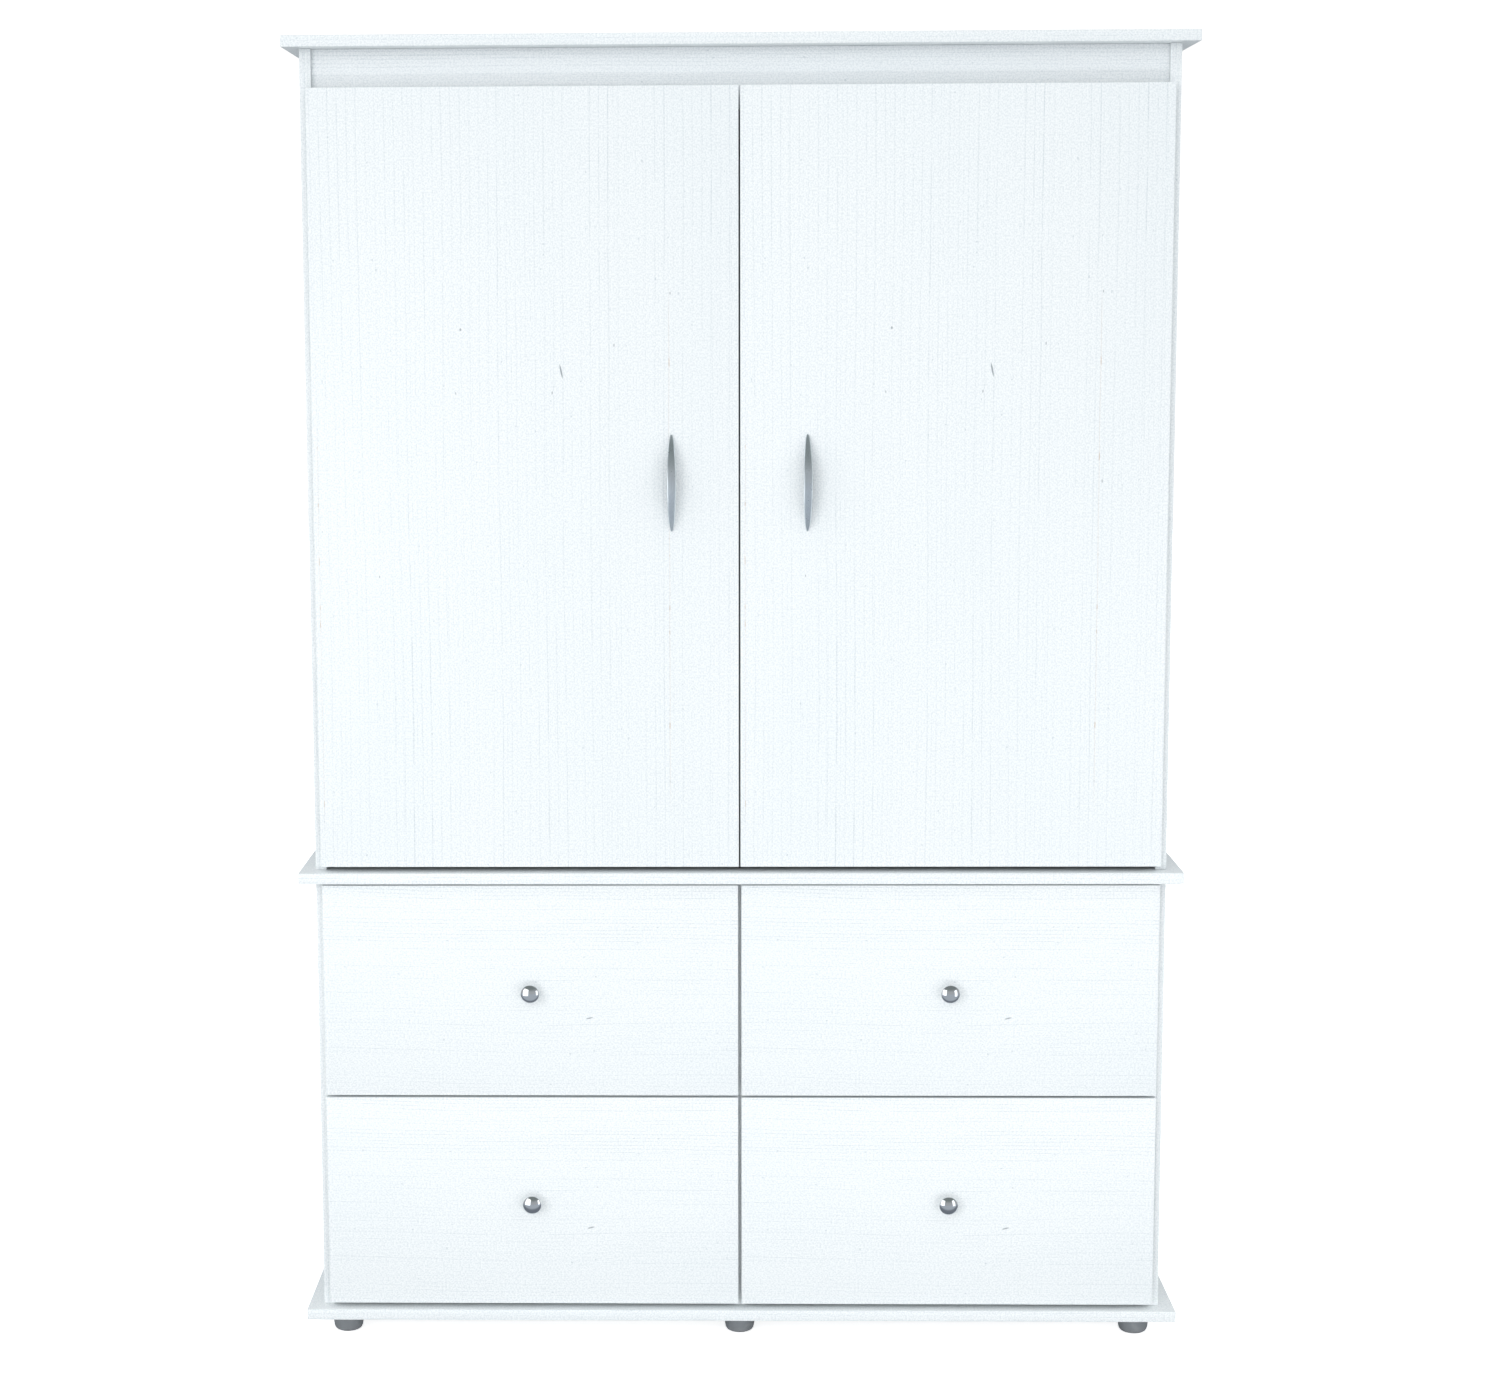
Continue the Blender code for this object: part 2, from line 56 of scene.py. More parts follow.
SIDES: dict[str, float] = {"left": -1.0, "right": 1.0}
LEVELS: tuple[str, str] = ("upper", "lower")
HINGE_PLACES: tuple[str, str] = ("top", "bottom")
RAIL_SIDES: tuple[str, str] = ("outer", "inner")
FACING = 0.985
HAIR = 1e-6
SHEET_EASE = 0.0003
WAVER = 0.0022
CAM_SEED, ROD_SEED, DOOR_SEED, HINGE_SEED, DRAWER_SEED, SLIDE_SEED = 3, 5, 7, 9, 11, 13

# Which finish each way of facing gets: print, edge band, arris or chipboard.
PRINT, BAND, ARRIS, RAW = 0, 1, 2, 3
THROUGH_FACES: Facings = (
    ((0, 0, 1), PRINT), ((0, 0, -1), PRINT), ((0, -1, 0), BAND),
    ((1, 0, 0), BAND), ((-1, 0, 0), BAND), ((0, 1, 0), RAW),
)
PANEL_FACES: Facings = (
    ((1, 0, 0), PRINT), ((-1, 0, 0), PRINT), ((0, -1, 0), BAND),
    ((0, 0, 1), RAW), ((0, 0, -1), RAW), ((0, 1, 0), RAW),
)
RAIL_FACES: Facings = (
    ((0, -1, 0), PRINT), ((0, 1, 0), PRINT), ((0, 0, -1), BAND),
    ((1, 0, 0), RAW), ((-1, 0, 0), RAW), ((0, 0, 1), RAW),
)
SLAB_FACES: Facings = (
    ((0, -1, 0), PRINT), ((0, 1, 0), PRINT), ((1, 0, 0), BAND),
    ((-1, 0, 0), BAND), ((0, 0, 1), BAND), ((0, 0, -1), BAND),
)
log = logging.getLogger("armoire")


# ---- node trees ----
class Signal:
    """One output of a node, which Python arithmetic turns into Math nodes."""

    def __init__(self, tree: "NodeTree", socket: bpy.types.NodeSocket) -> None:
        """Keep the tree and the output socket."""
        self.tree = tree
        self.socket = socket

    def __add__(self, other: Number) -> "Signal":
        """Return self + other."""
        return self.tree.math("ADD", self, other)

    def __radd__(self, other: Number) -> "Signal":
        """Return other + self."""
        return self.tree.math("ADD", other, self)

    def __sub__(self, other: Number) -> "Signal":
        """Return self - other."""
        return self.tree.math("SUBTRACT", self, other)

    def __rsub__(self, other: Number) -> "Signal":
        """Return other - self."""
        return self.tree.math("SUBTRACT", other, self)

    def __mul__(self, other: Number) -> "Signal":
        """Return self * other."""
        return self.tree.math("MULTIPLY", self, other)

    def __rmul__(self, other: Number) -> "Signal":
        """Return other * self."""
        return self.tree.math("MULTIPLY", other, self)

    def __truediv__(self, other: Number) -> "Signal":
        """Return self / other."""
        return self.tree.math("DIVIDE", self, other)

    def __pow__(self, other: Number) -> "Signal":
        """Return self to the power other."""
        return self.tree.math("POWER", self, other)

    def __neg__(self) -> "Signal":
        """Return -self."""
        return self.tree.math("MULTIPLY", self, -1.0)

    def __abs__(self) -> "Signal":
        """Return the size of self without its sign."""
        return self.tree.math("ABSOLUTE", self)

    def at_least(self, other: Number) -> "Signal":
        """Return the larger of self and other."""
        return self.tree.math("MAXIMUM", self, other)


class NodeTree:
    """Makes the nodes of one shader tree or geometry tree."""

    def __init__(self, tree: bpy.types.NodeTree) -> None:
        """Keep the tree that nodes are added to."""
        self.tree = tree

    @staticmethod
    def _socket(sockets: Any, key: Union[str, int]) -> bpy.types.NodeSocket:
        """Find a socket by place, by identifier, or by name among those in use.

        Args:
            sockets: A node's inputs or outputs.
            key: The socket's place, identifier or name.

        Returns:
            The socket.
        """
        if isinstance(key, int):
            return sockets[key]
        for socket in sockets:
            if socket.identifier == key:
                return socket
        return next(s for s in sockets if s.name == key and s.enabled)

    def node(
        self,
        kind: str,
        settings: Optional[Mapping[str, Any]] = None,
        sockets: Optional[Mapping[Union[str, int], Any]] = None,
    ) -> bpy.types.Node:
        """Add a node, set it up, then fill or link its sockets.

        Args:
            kind: The node's type.
            settings: Its own settings.
            sockets: Values or signals by input.

        Returns:
            The new node.
        """
        made = self.tree.nodes.new(kind)
        for name, value in (settings or {}).items():
            setattr(made, name, value)
        for key, value in (sockets or {}).items():
            socket = self._socket(made.inputs, key)
            if isinstance(value, Signal):
                self.tree.links.new(value.socket, socket)
            else:
                socket.default_value = value
        return made

    def signal(
        self,
        kind: str,
        settings: Optional[Mapping[str, Any]] = None,
        sockets: Optional[Mapping[Union[str, int], Any]] = None,
        output: Union[str, int] = 0,
    ) -> Signal:
        """Add a node and return one of its outputs.

        Args:
            kind: The node's type.
            settings: Its own settings.
            sockets: Values or signals by input.
            output: Which output is wanted.

        Returns:
            The output as a signal.
        """
        made = self.node(kind, settings, sockets)
        return Signal(self, self._socket(made.outputs, output))

    def math(self, operation: str, *values: Number) -> Signal:
        """Return a Math node's result.

        Args:
            operation: The node's operation.
            *values: Its numbers or signals, in order.

        Returns:
            The result.
        """
        return self.signal(
            "ShaderNodeMath", {"operation": operation}, dict(enumerate(values))
        )

    def combine(self, x: Number, y: Number, z: Number) -> Signal:
        """Return a vector made of three numbers."""
        return self.signal("ShaderNodeCombineXYZ", None, {0: x, 1: y, 2: z})

    def split(self, vector: Signal) -> tuple[Signal, Signal, Signal]:
        """Return the three numbers of a vector."""
        made = self.node("ShaderNodeSeparateXYZ", None, {0: vector})
        x, y, z = (Signal(self, output) for output in made.outputs)
        return x, y, z

    def ease(self, value: Number, start: float, stop: float) -> Signal:
        """Return 0 at start and 1 at stop, with a smooth step between.

        Args:
            value: The number that is read.
            start: Where the result is 0.
            stop: Where the result is 1; it may be below start.

        Returns:
            The step, from 0 to 1.
        """
        low, high = min(start, stop), max(start, stop)
        step = self.signal(
            "ShaderNodeMapRange",
            {"interpolation_type": "SMOOTHSTEP"},
            {"Value": value, "From Min": low, "From Max": high},
        )
        return step if start < stop else 1.0 - step

    def noise(self, vector: Signal, detail: float = 2.0, roughness: float = 0.5) -> Signal:
        """Return soft noise around 0.5.

        Args:
            vector: Where it is read, in the noise's own cells.
            detail: How many finer layers it has.
            roughness: How strong the finer layers are.

        Returns:
            The noise.
        """
        return self.signal(
            "ShaderNodeTexNoise",
            {"noise_dimensions": "3D"},
            {"Vector": vector, "Scale": 1.0, "Detail": detail, "Roughness": roughness},
        )

    def blend(self, share: Number, first: Any, second: Any) -> Signal:
        """Mix two colours.

        Args:
            share: How much of the second colour is used.
            first: A colour or a signal.
            second: A colour or a signal.

        Returns:
            The mixed colour.
        """
        ends = [c if isinstance(c, Signal) else (*c, 1.0) for c in (first, second)]
        return self.signal(
            "ShaderNodeMix",
            {"data_type": "RGBA"},
            {"Factor_Float": share, "A_Color": ends[0], "B_Color": ends[1]},
            "Result_Color",
        )


class Shade(NodeTree):
    """One material with a Principled shader and object coordinates."""

    def __init__(self, name: str, shown: Triple) -> None:
        """Make the material.

        Args:
            name: The material's name.
            shown: Its colour in a plain viewport.
        """
        self.material = bpy.data.materials.new(name)
        self.material.use_nodes = True
        self.material.diffuse_color = (*shown, 1.0)
        super().__init__(self.material.node_tree)
        self.tree.nodes.clear()
        self.shader = self.node("ShaderNodeBsdfPrincipled")
        out = Signal(self, self.shader.outputs[0])
        self.node("ShaderNodeOutputMaterial", None, {"Surface": out})

    def place(self, origin: Triple = (0.0, 0.0, 0.0)) -> Signal:
        """Return object coordinates, counted from a point of the armoire."""
        where = self.signal("ShaderNodeTexCoord", None, None, "Object")
        return self.signal(
            "ShaderNodeMapping",
            {"vector_type": "POINT"},
            {"Vector": where, "Location": tuple(-value for value in origin)},
        )

    def noise_at(
        self,
        where: Sequence[Signal],
        pitch: Triple,
        detail: float = 2.0,
        roughness: float = 0.5,
    ) -> Signal:
        """Return noise with its own pitch along each axis.

        Args:
            where: The three coordinates.
            pitch: Cells per metre along each.
            detail: How many finer layers it has.
            roughness: How strong the finer layers are.

        Returns:
            The noise.
        """
        scaled = [value * rate for value, rate in zip(where, pitch)]
        return self.noise(self.combine(*scaled), detail, roughness)

    def bump(self, height: Signal, distance: float, strength: float) -> Signal:
        """Return a normal raised by a height.

        Args:
            height: From 0 to 1.
            distance: How far 1 stands above 0, in metres.
            strength: How much of it shows.

        Returns:
            The normal.
        """
        return self.signal(
            "ShaderNodeBump",
            None,
            {"Height": height, "Distance": distance, "Strength": strength},
        )

    def dress(self, **sockets: Any) -> bpy.types.Material:
        """Fill the shader's sockets, named with underscores, and return the material."""
        for key, value in sockets.items():
            socket = self.shader.inputs[key.replace("_", " ").title().replace("Ior", "IOR")]
            if isinstance(value, Signal):
                self.tree.links.new(value.socket, socket)
            elif isinstance(value, tuple) and len(value) == 3:
                socket.default_value = (*value, 1.0)
            else:
                socket.default_value = value
        return self.material


# ---- finishes ----
class Grain(Enum):
    """The way the printed grain runs on a board."""

    UPRIGHT = "upright"
    ACROSS = "across"


@dataclass(frozen=True)
class Fleck:
    """A small dark mark in the print, placed from the board's low left corner."""

    across: float
    along: float
    half_width: float
    half_length: float
    lean: float = 0.0
    depth: float = 0.5


@dataclass(frozen=True)
class ResinLine:
    """A faint brown line of dashes that runs with the grain."""

    across: float
    start: float
    stop: float
    depth: float = 0.5


@dataclass(frozen=True)
class Whitewash:
    """White-stained wood print on melamine: broken grey lines, pores and soft clouds."""

    grain: Grain
    origin: Triple = (0.0, 0.0, 0.0)
    seed: float = 0.0
    gap: float = 0.0122
    line: float = 0.0012
    depth: float = 0.46
    run: float = 13.0
    sway: float = 0.012
    tilt: float = 0.0
    stipple: float = 0.30
    flecks: tuple[Fleck, ...] = ()
    resin: tuple[ResinLine, ...] = ()
    white: Triple = (0.885, 0.905, 0.910)
    cool: Triple = (0.862, 0.892, 0.903)
    grey: Triple = (0.48, 0.54, 0.58)
    brown: Triple = (0.52, 0.38, 0.28)
    ink: Triple = (0.24, 0.27, 0.30)

    def make(self, name: str) -> bpy.types.Material:
        """Build the material.

        Args:
            name: Its name.

        Returns:
            The material.
        """
        shade = Shade(name, self.white)
        x, y, z = shade.split(shade.place(self.origin))
        if self.grain is Grain.UPRIGHT:
            along, across = z, x + y
        else:
            along, across = x, y + z
        across = across + along * self.tilt
        long_lines = self._lines(shade, across, along, 0.0, 1.0)
        short_lines = self._lines(shade, across, along, 40.0, 0.53)
        lines = long_lines + short_lines * 0.42
        pores = shade.ease(
            shade.noise(shade.combine(across * 620.0, along * 90.0, self.seed), 2.0, 0.6),
            0.54,
            0.72,
        )
        dots = shade.ease(
            shade.noise(shade.combine(across * 500.0, along * 400.0, self.seed + 9.0), 1.0),
            0.36,
            0.66,
        )
        specks = shade.ease(
            shade.noise(shade.combine(across * 230.0, along * 150.0, self.seed + 17.0), 0.0),
            0.80,
            0.88,
        )
        clouds = shade.noise(shade.combine(across * 3.0, along * 1.0, self.seed + 5.0), 3.0)
        colour = shade.blend(shade.ease(clouds, 0.35, 0.68), self.white, self.cool)
        marks = lines * self.depth + dots * self.stipple + pores * 0.07 + specks * 0.35
        colour = shade.blend(marks.at_least(0.0), colour, self.grey)
        for one in self.resin:
            colour = self._run_resin(shade, colour, one, across, along)
        for one in self.flecks:
            colour = self._drop_fleck(shade, colour, one, across, along)
        rough = 0.40 + lines * 0.14 + (clouds - 0.5) * 0.10
        normal = shade.bump(1.0 - lines * 0.7 - pores * 0.3, 0.00006, 0.35)
        return shade.dress(base_color=colour, roughness=rough, normal=normal)

    def _lines(
        self, shade: Shade, across: Signal, along: Signal, shift: float, scale: float
    ) -> Signal:
        """Return one family of broken lines that run with the grain.

        Args:
            shade: The tree.
            across: Distance across the grain.
            along: Distance along the grain.
            shift: Added to the seed, so that families differ.
            scale: The size of the family's gaps and runs against the finish's own.

        Returns:
            How dark the lines are, from 0 to 1.
        """
        seed = self.seed + shift
        gap, half = self.gap * scale, self.line * scale**0.35
        bend = shade.noise(shade.combine(across * 5.0, along * 1.3, seed), 1.0)
        waver = shade.noise(shade.combine(across * 45.0, along * 9.0, seed + 3.0), 2.0)
        path = across + (bend - 0.5) * self.sway + (waver - 0.5) * WAVER
        phase = path / gap
        number = shade.math("FLOOR", phase)
        off = abs(shade.math("FRACT", phase) - 0.5)
        chance = shade.signal(
            "ShaderNodeTexWhiteNoise", {"noise_dimensions": "1D"}, {"W": number + seed}
        )
        dashes = shade.noise(
            shade.combine(number * 7.3, along * self.run / scale**1.6, seed + 7.0), 2.0
        )
        groups = shade.noise(shade.combine(across * 11.0, along * 0.9, seed + 11.0), 1.0)
        return (
            shade.ease(off, half / gap, 0.0)
            * (0.35 + 0.65 * shade.ease(chance, 0.20, 0.90))
            * (0.26 + 0.74 * shade.ease(dashes, 0.38, 0.58))
            * (0.45 + 0.55 * shade.ease(groups, 0.36, 0.62))
        )

    def _run_resin(
        self, shade: Shade, colour: Signal, one: ResinLine, across: Signal, along: Signal
    ) -> Signal:
        """Lay a brown line over a colour.

        Args:
            shade: The tree.
            colour: The colour so far.
            one: The line.
            across: Distance across the grain.
            along: Distance along the grain.

        Returns:
            The colour with the line in it.
        """
        waver = shade.noise(shade.combine(along * 9.0, one.across * 50.0, self.seed), 2.0)
        off = abs(across - one.across + (waver - 0.5) * WAVER)
        spots = shade.ease(
            shade.noise(shade.combine(along * 55.0, one.across * 90.0, 2.0), 1.0), 0.60, 0.70
        )
        reach = shade.ease(along, one.start, one.start + 0.08) * shade.ease(
            along, one.stop, one.stop - 0.08
        )
        share = shade.ease(off, 0.0009, 0.0002) * (0.22 + 0.78 * spots) * reach * one.depth
        return shade.blend(share, colour, self.brown)

    def _drop_fleck(
        self, shade: Shade, colour: Signal, one: Fleck, across: Signal, along: Signal
    ) -> Signal:
        """Lay a small dark mark over a colour.

        Args:
            shade: The tree.
            colour: The colour so far.
            one: The mark.
            across: Distance across the grain.
            along: Distance along the grain.

        Returns:
            The colour with the mark in it.
        """
        up = along - one.along
        side = (across - one.across - up * one.lean) / one.half_width
        far = side * side + (up / one.half_length) ** 2.0
        return shade.blend(shade.ease(far, 1.0, 0.2) * one.depth, colour, self.ink)


@dataclass(frozen=True)
class EdgeBand:
    """White banding on a board's edge, with faint slanting streaks."""

    white: Triple = (0.960, 0.970, 0.972)
    streak: Triple = (0.77, 0.80, 0.83)

    def make(self, name: str) -> bpy.types.Material:
        """Build the material and return it."""
        shade = Shade(name, self.white)
        x, y, z = shade.split(shade.place())
        swirl = shade.noise(shade.combine(x * 16.0 + y * 16.0, z * 22.0, 1.0), 2.0)
        phase = (x + y) * 95.0 + z * 105.0 + (swirl - 0.5) * 9.0
        off = abs(shade.math("FRACT", phase) - 0.5)
        broken = shade.noise(shade.combine(x * 60.0 + y * 60.0, z * 90.0, 4.0), 2.0)
        streaks = shade.ease(off, 0.22, 0.0) * shade.ease(broken, 0.42, 0.62)
        colour = shade.blend(streaks * 0.50, self.white, self.streak)
        rough = 0.42 + streaks * 0.12
        normal = shade.bump(1.0 - streaks, 0.00005, 0.3)
        return shade.dress(base_color=colour, roughness=rough, normal=normal)


@dataclass(frozen=True)
class Arris:
    """The thin rounded corner where face foil meets edge banding, rubbed here and there."""

    white: Triple = (0.86, 0.88, 0.885)
    rubbed: Triple = (0.66, 0.67, 0.66)

    def make(self, name: str) -> bpy.types.Material:
        """Build the material and return it."""
        shade = Shade(name, self.white)
        where = shade.split(shade.place())
        rub = shade.noise_at(where, (26.0, 26.0, 26.0), 4.0, 0.6)
        share = shade.ease(rub, 0.52, 0.72)
        colour = shade.blend(share * 0.6, self.white, self.rubbed)
        return shade.dress(base_color=colour, roughness=0.36 + share * 0.25)


@dataclass(frozen=True)
class Chipboard:
    """Sawn chipboard, as on rear edges and inside the bores."""

    pale: Triple = (0.66, 0.54, 0.39)
    mid: Triple = (0.50, 0.37, 0.24)
    dark: Triple = (0.25, 0.17, 0.10)

    def make(self, name: str) -> bpy.types.Material:
        """Build the material and return it."""
        shade = Shade(name, self.mid)
        where = shade.place()
        chips = shade.signal("ShaderNodeTexVoronoi", None, {"Vector": where, "Scale": 420.0})
        tint = shade.noise_at(shade.split(where), (260.0, 260.0, 520.0), 3.0, 0.65)
        colour = shade.blend(shade.ease(tint, 0.34, 0.66), self.mid, self.pale)
        pits = shade.ease(chips, 0.55, 0.95) * shade.ease(tint, 0.56, 0.40)
        colour = shade.blend(pits, colour, self.dark)
        normal = shade.bump(tint - pits * 0.5, 0.0004, 0.6)
        return shade.dress(base_color=colour, roughness=0.78 + pits * 0.15, normal=normal)


@dataclass(frozen=True)
class Hardboard:
    """Thin fibreboard with a pale coat, with fibres showing through."""

    coat: Triple = (0.74, 0.75, 0.735)
    fibre: Triple = (0.56, 0.53, 0.47)

    def make(self, name: str) -> bpy.types.Material:
        """Build the material and return it."""
        shade = Shade(name, self.coat)
        where = shade.split(shade.place())
        fine = shade.noise_at(where, (520.0, 520.0, 300.0), 3.0, 0.7)
        wide = shade.noise_at(where, (7.0, 7.0, 5.0), 4.0, 0.55)
        fibres = shade.ease(fine, 0.50, 0.72)
        worn = fibres * (0.18 + 0.30 * shade.ease(wide, 0.42, 0.68))
        colour = shade.blend(worn, self.coat, self.fibre)
        normal = shade.bump(fine, 0.00016, 0.45)
        rough = 0.62 + fibres * 0.14 + (wide - 0.5) * 0.08
        return shade.dress(base_color=colour, roughness=rough, normal=normal)


@dataclass(frozen=True)
class FoilWrap:
    """Pale grey foil with a fine linen weave, as on drawer sides."""

    pale: Triple = (0.76, 0.77, 0.765)
    thread: Triple = (0.60, 0.615, 0.615)

    def make(self, name: str) -> bpy.types.Material:
        """Build the material and return it."""
        shade = Shade(name, self.pale)
        x, y, z = shade.split(shade.place())
        weft = shade.noise(shade.combine(x * 30.0 + y * 30.0, z * 900.0, 1.0), 2.0)
        warp = shade.noise(shade.combine(x * 900.0 + y * 900.0, z * 30.0, 6.0), 2.0)
        weave = shade.ease(weft, 0.48, 0.70) * 0.5 + shade.ease(warp, 0.48, 0.70) * 0.5
        clouds = shade.noise_at((x, y, z), (5.0, 5.0, 5.0), 3.0)
        share = weave * 0.42 + (clouds - 0.5) * 0.15
        colour = shade.blend(share.at_least(0.0), self.pale, self.thread)
        normal = shade.bump(1.0 - weave, 0.00008, 0.4)
        return shade.dress(
            base_color=colour, roughness=0.46 + weave * 0.16, normal=normal
        )


@dataclass(frozen=True)
class Metal:
    """Plated or brushed metal, with hairlines and handling marks."""

    colour: Triple
    shadow: Triple
    rough: float
    hairline: float = 0.0
    spangle: float = 0.0
    along: Triple = (900.0, 900.0, 24.0)

    def make(self, name: str) -> bpy.types.Material:
        """Build the material and return it."""
        shade = Shade(name, self.colour)
        where = shade.split(shade.place())
        brushed = shade.noise_at(where, self.along)
        smudge = shade.noise_at(where, (42.0, 42.0, 42.0), 4.0, 0.6)
        grit = shade.noise_at(where, (330.0, 330.0, 330.0), 3.0, 0.7)
        share = (
            shade.ease(brushed, 0.40, 0.66) * self.hairline
            + shade.ease(smudge, 0.46, 0.74) * 0.16
            + shade.ease(grit, 0.42, 0.66) * self.spangle
        )
        colour = shade.blend(share, self.colour, self.shadow)
        rough = (
            self.rough
            + shade.ease(smudge, 0.45, 0.75) * self.rough * 0.6
            + (brushed - 0.5) * self.hairline * 0.3
        )
        normal = shade.bump(brushed * self.hairline + grit * self.spangle, 0.00004, 0.3)
        return shade.dress(
            base_color=colour, metallic=1.0, roughness=rough, normal=normal
        )


@dataclass(frozen=True)
class Moulded:
    """Moulded plastic with a fine satin grain and scuffed high spots."""

    colour: Triple
    scuff: Triple
    rough: float = 0.46

    def make(self, name: str) -> bpy.types.Material:
        """Build the material and return it."""
        shade = Shade(name, self.colour)
        where = shade.split(shade.place())
        skin = shade.noise_at(where, (1500.0, 1500.0, 1500.0))
        wear = shade.noise_at(where, (85.0, 85.0, 140.0), 4.0, 0.6)
        low = shade.ease(where[2], 0.006, 0.001) * 0.5
        share = shade.ease(wear, 0.50, 0.72) * 0.28 + low * shade.ease(wear, 0.40, 0.65)
        colour = shade.blend(share, self.colour, self.scuff)
        rough = self.rough + share * 0.3 + (skin - 0.5) * 0.12
        normal = shade.bump(skin, 0.00005, 0.5)
        return shade.dress(base_color=colour, roughness=rough, normal=normal)


DOOR_FLECKS = (
    Fleck(0.333, 0.669, 0.0014, 0.0110, -0.20, 0.90),
    Fleck(0.321, 0.6405, 0.0011, 0.0028, 0.10, 0.60),
    Fleck(0.200, 0.7245, 0.0016, 0.0024, 0.0, 0.75),
    Fleck(0.4035, 0.703, 0.0010, 0.0030, 0.0, 0.60),
    Fleck(0.1925, 0.6405, 0.0010, 0.0026, 0.10, 0.50),
    Fleck(0.478, 0.771, 0.0010, 0.0026, 0.0, 0.60),
    Fleck(0.480, 0.521, 0.0010, 0.0030, 0.0, 0.60),
    Fleck(0.087, 0.396, 0.0011, 0.0020, 0.0, 0.55),
)
DOOR_RESIN = (
    ResinLine(0.476, 0.06, 0.80, 0.85),
    ResinLine(0.0065, 0.03, 0.62, 0.70),
)
DRAWER_FLECKS = (
    Fleck(0.113, 0.363, 0.0012, 0.0060, 0.25, 0.80),
    Fleck(0.171, 0.372, 0.0010, 0.0016, 0.0, 0.50),
)


class Paintbox:
    """Makes each finish once and hands it out by name."""

    def __init__(self) -> None:
        """List the finishes that don't depend on a piece."""
        self.made: dict[str, bpy.types.Material] = {}
        self.plain: dict[str, Any] = {
            "edge_band": EdgeBand(),
            "arris": Arris(),
            "chipboard": Chipboard(),
            "hardboard": Hardboard(),
            "foil_wrap": FoilWrap(),
            "satin_nickel": Metal((0.86, 0.92, 0.96), (0.74, 0.80, 0.83), 0.30, 0.5),
            "polished_chrome": Metal((0.86, 0.88, 0.90), (0.70, 0.72, 0.75), 0.055),
            "zinc_plate": Metal((0.66, 0.67, 0.68), (0.47, 0.49, 0.52), 0.30, 0.2, 0.35),
            "dull_steel": Metal((0.50, 0.51, 0.52), (0.34, 0.35, 0.37), 0.38, 0.1, 0.3),
            "grey_nylon": Moulded((0.255, 0.270, 0.285), (0.40, 0.41, 0.42)),
        }

    def plain_finish(self, name: str) -> bpy.types.Material:
        """Return a finish that is the same on every piece."""
        if name not in self.made:
            self.made[name] = self.plain[name].make(name)
        return self.made[name]

    def several(self, *names: str) -> list[bpy.types.Material]:
        """Return plain finishes in the order of their names."""
        return [self.plain_finish(name) for name in names]

    def whitewash(self, name: str, finish: Whitewash) -> bpy.types.Material:
        """Return the wood print of one board.

        Args:
            name: The board's name.
            finish: The print, placed on that board.

        Returns:
            The material.
        """
        key = f"whitewash_{name}"
        if key not in self.made:
            self.made[key] = finish.make(key)
        return self.made[key]


# ---- making pieces ----
@dataclass
class Piece:
    """One finished piece: its mesh, its finishes and the body it rides on."""

    name: str
    body: str
    slot: str
    finishes: Sequence[bpy.types.Material]
    stands_for: Sequence[str] = ()

    def settle(self, mesh: bpy.types.Mesh) -> bpy.types.Object:
        """Put a mesh in the frame under this piece's name.

        Args:
            mesh: The shape, in place.

        Returns:
            The object.
        """
        mesh.name = self.name
        mesh.materials.clear()
        for finish in self.finishes:
            mesh.materials.append(finish)
        item = bpy.data.objects.new(self.name, mesh)
        bpy.context.scene.collection.objects.link(item)
        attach(item, self.body)
        if self.stands_for:
            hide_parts(*self.stands_for)
        log.info("%s: %d faces on %s", self.name, len(mesh.polygons), self.body)
        return item

    def settle_bm(self, bm: bmesh.types.BMesh, sharp: float = 32.0) -> bpy.types.Object:
        """Turn mesh data into a piece.

        Args:
            bm: The shape, which is freed.
            sharp: Smooth faces that meet at more than this angle keep a hard edge.

        Returns:
            The object.
        """
        bmesh.ops.recalc_face_normals(bm, faces=bm.faces)
        mesh = bpy.data.meshes.new(self.name)
        bm.to_mesh(mesh)
        bm.free()
        mesh.set_sharp_from_angle(angle=math.radians(sharp))
        return self.settle(mesh)


def board_shape(
    low: Vector, high: Vector, ease: float, segments: int = 3
) -> bmesh.types.BMesh:
    """Return a board with rounded edges.

    Args:
        low: Its lowest corner.
        high: Its highest corner.
        ease: The radius of its edges.
        segments: How many faces round an edge.

    Returns:
        The shape.
    """
    bm = bmesh.new()
    bmesh.ops.create_cube(bm, size=1.0)
    size, centre = high - low, (high + low) / 2.0
    for vertex in bm.verts:
        vertex.co = Vector(c * s for c, s in zip(vertex.co, size)) + centre
    bmesh.ops.bevel(
        bm, geom=list(bm.edges), offset=ease, segments=segments, profile=0.5, affect="EDGES"
    )
    return bm


def paint_by_facing(
    bm: bmesh.types.BMesh, order: Facings, other: int = ARRIS
) -> None:
    """Give each face the finish of the way it faces.

    Args:
        bm: The shape.
        order: Pairs of a direction and a finish's place.
        other: The place of the finish for slanting faces.
    """
    bm.normal_update()
    for face in bm.faces:
        face.material_index = other
        for direction, index in order:
            if face.normal.dot(Vector(direction)) > FACING:
                face.material_index = index


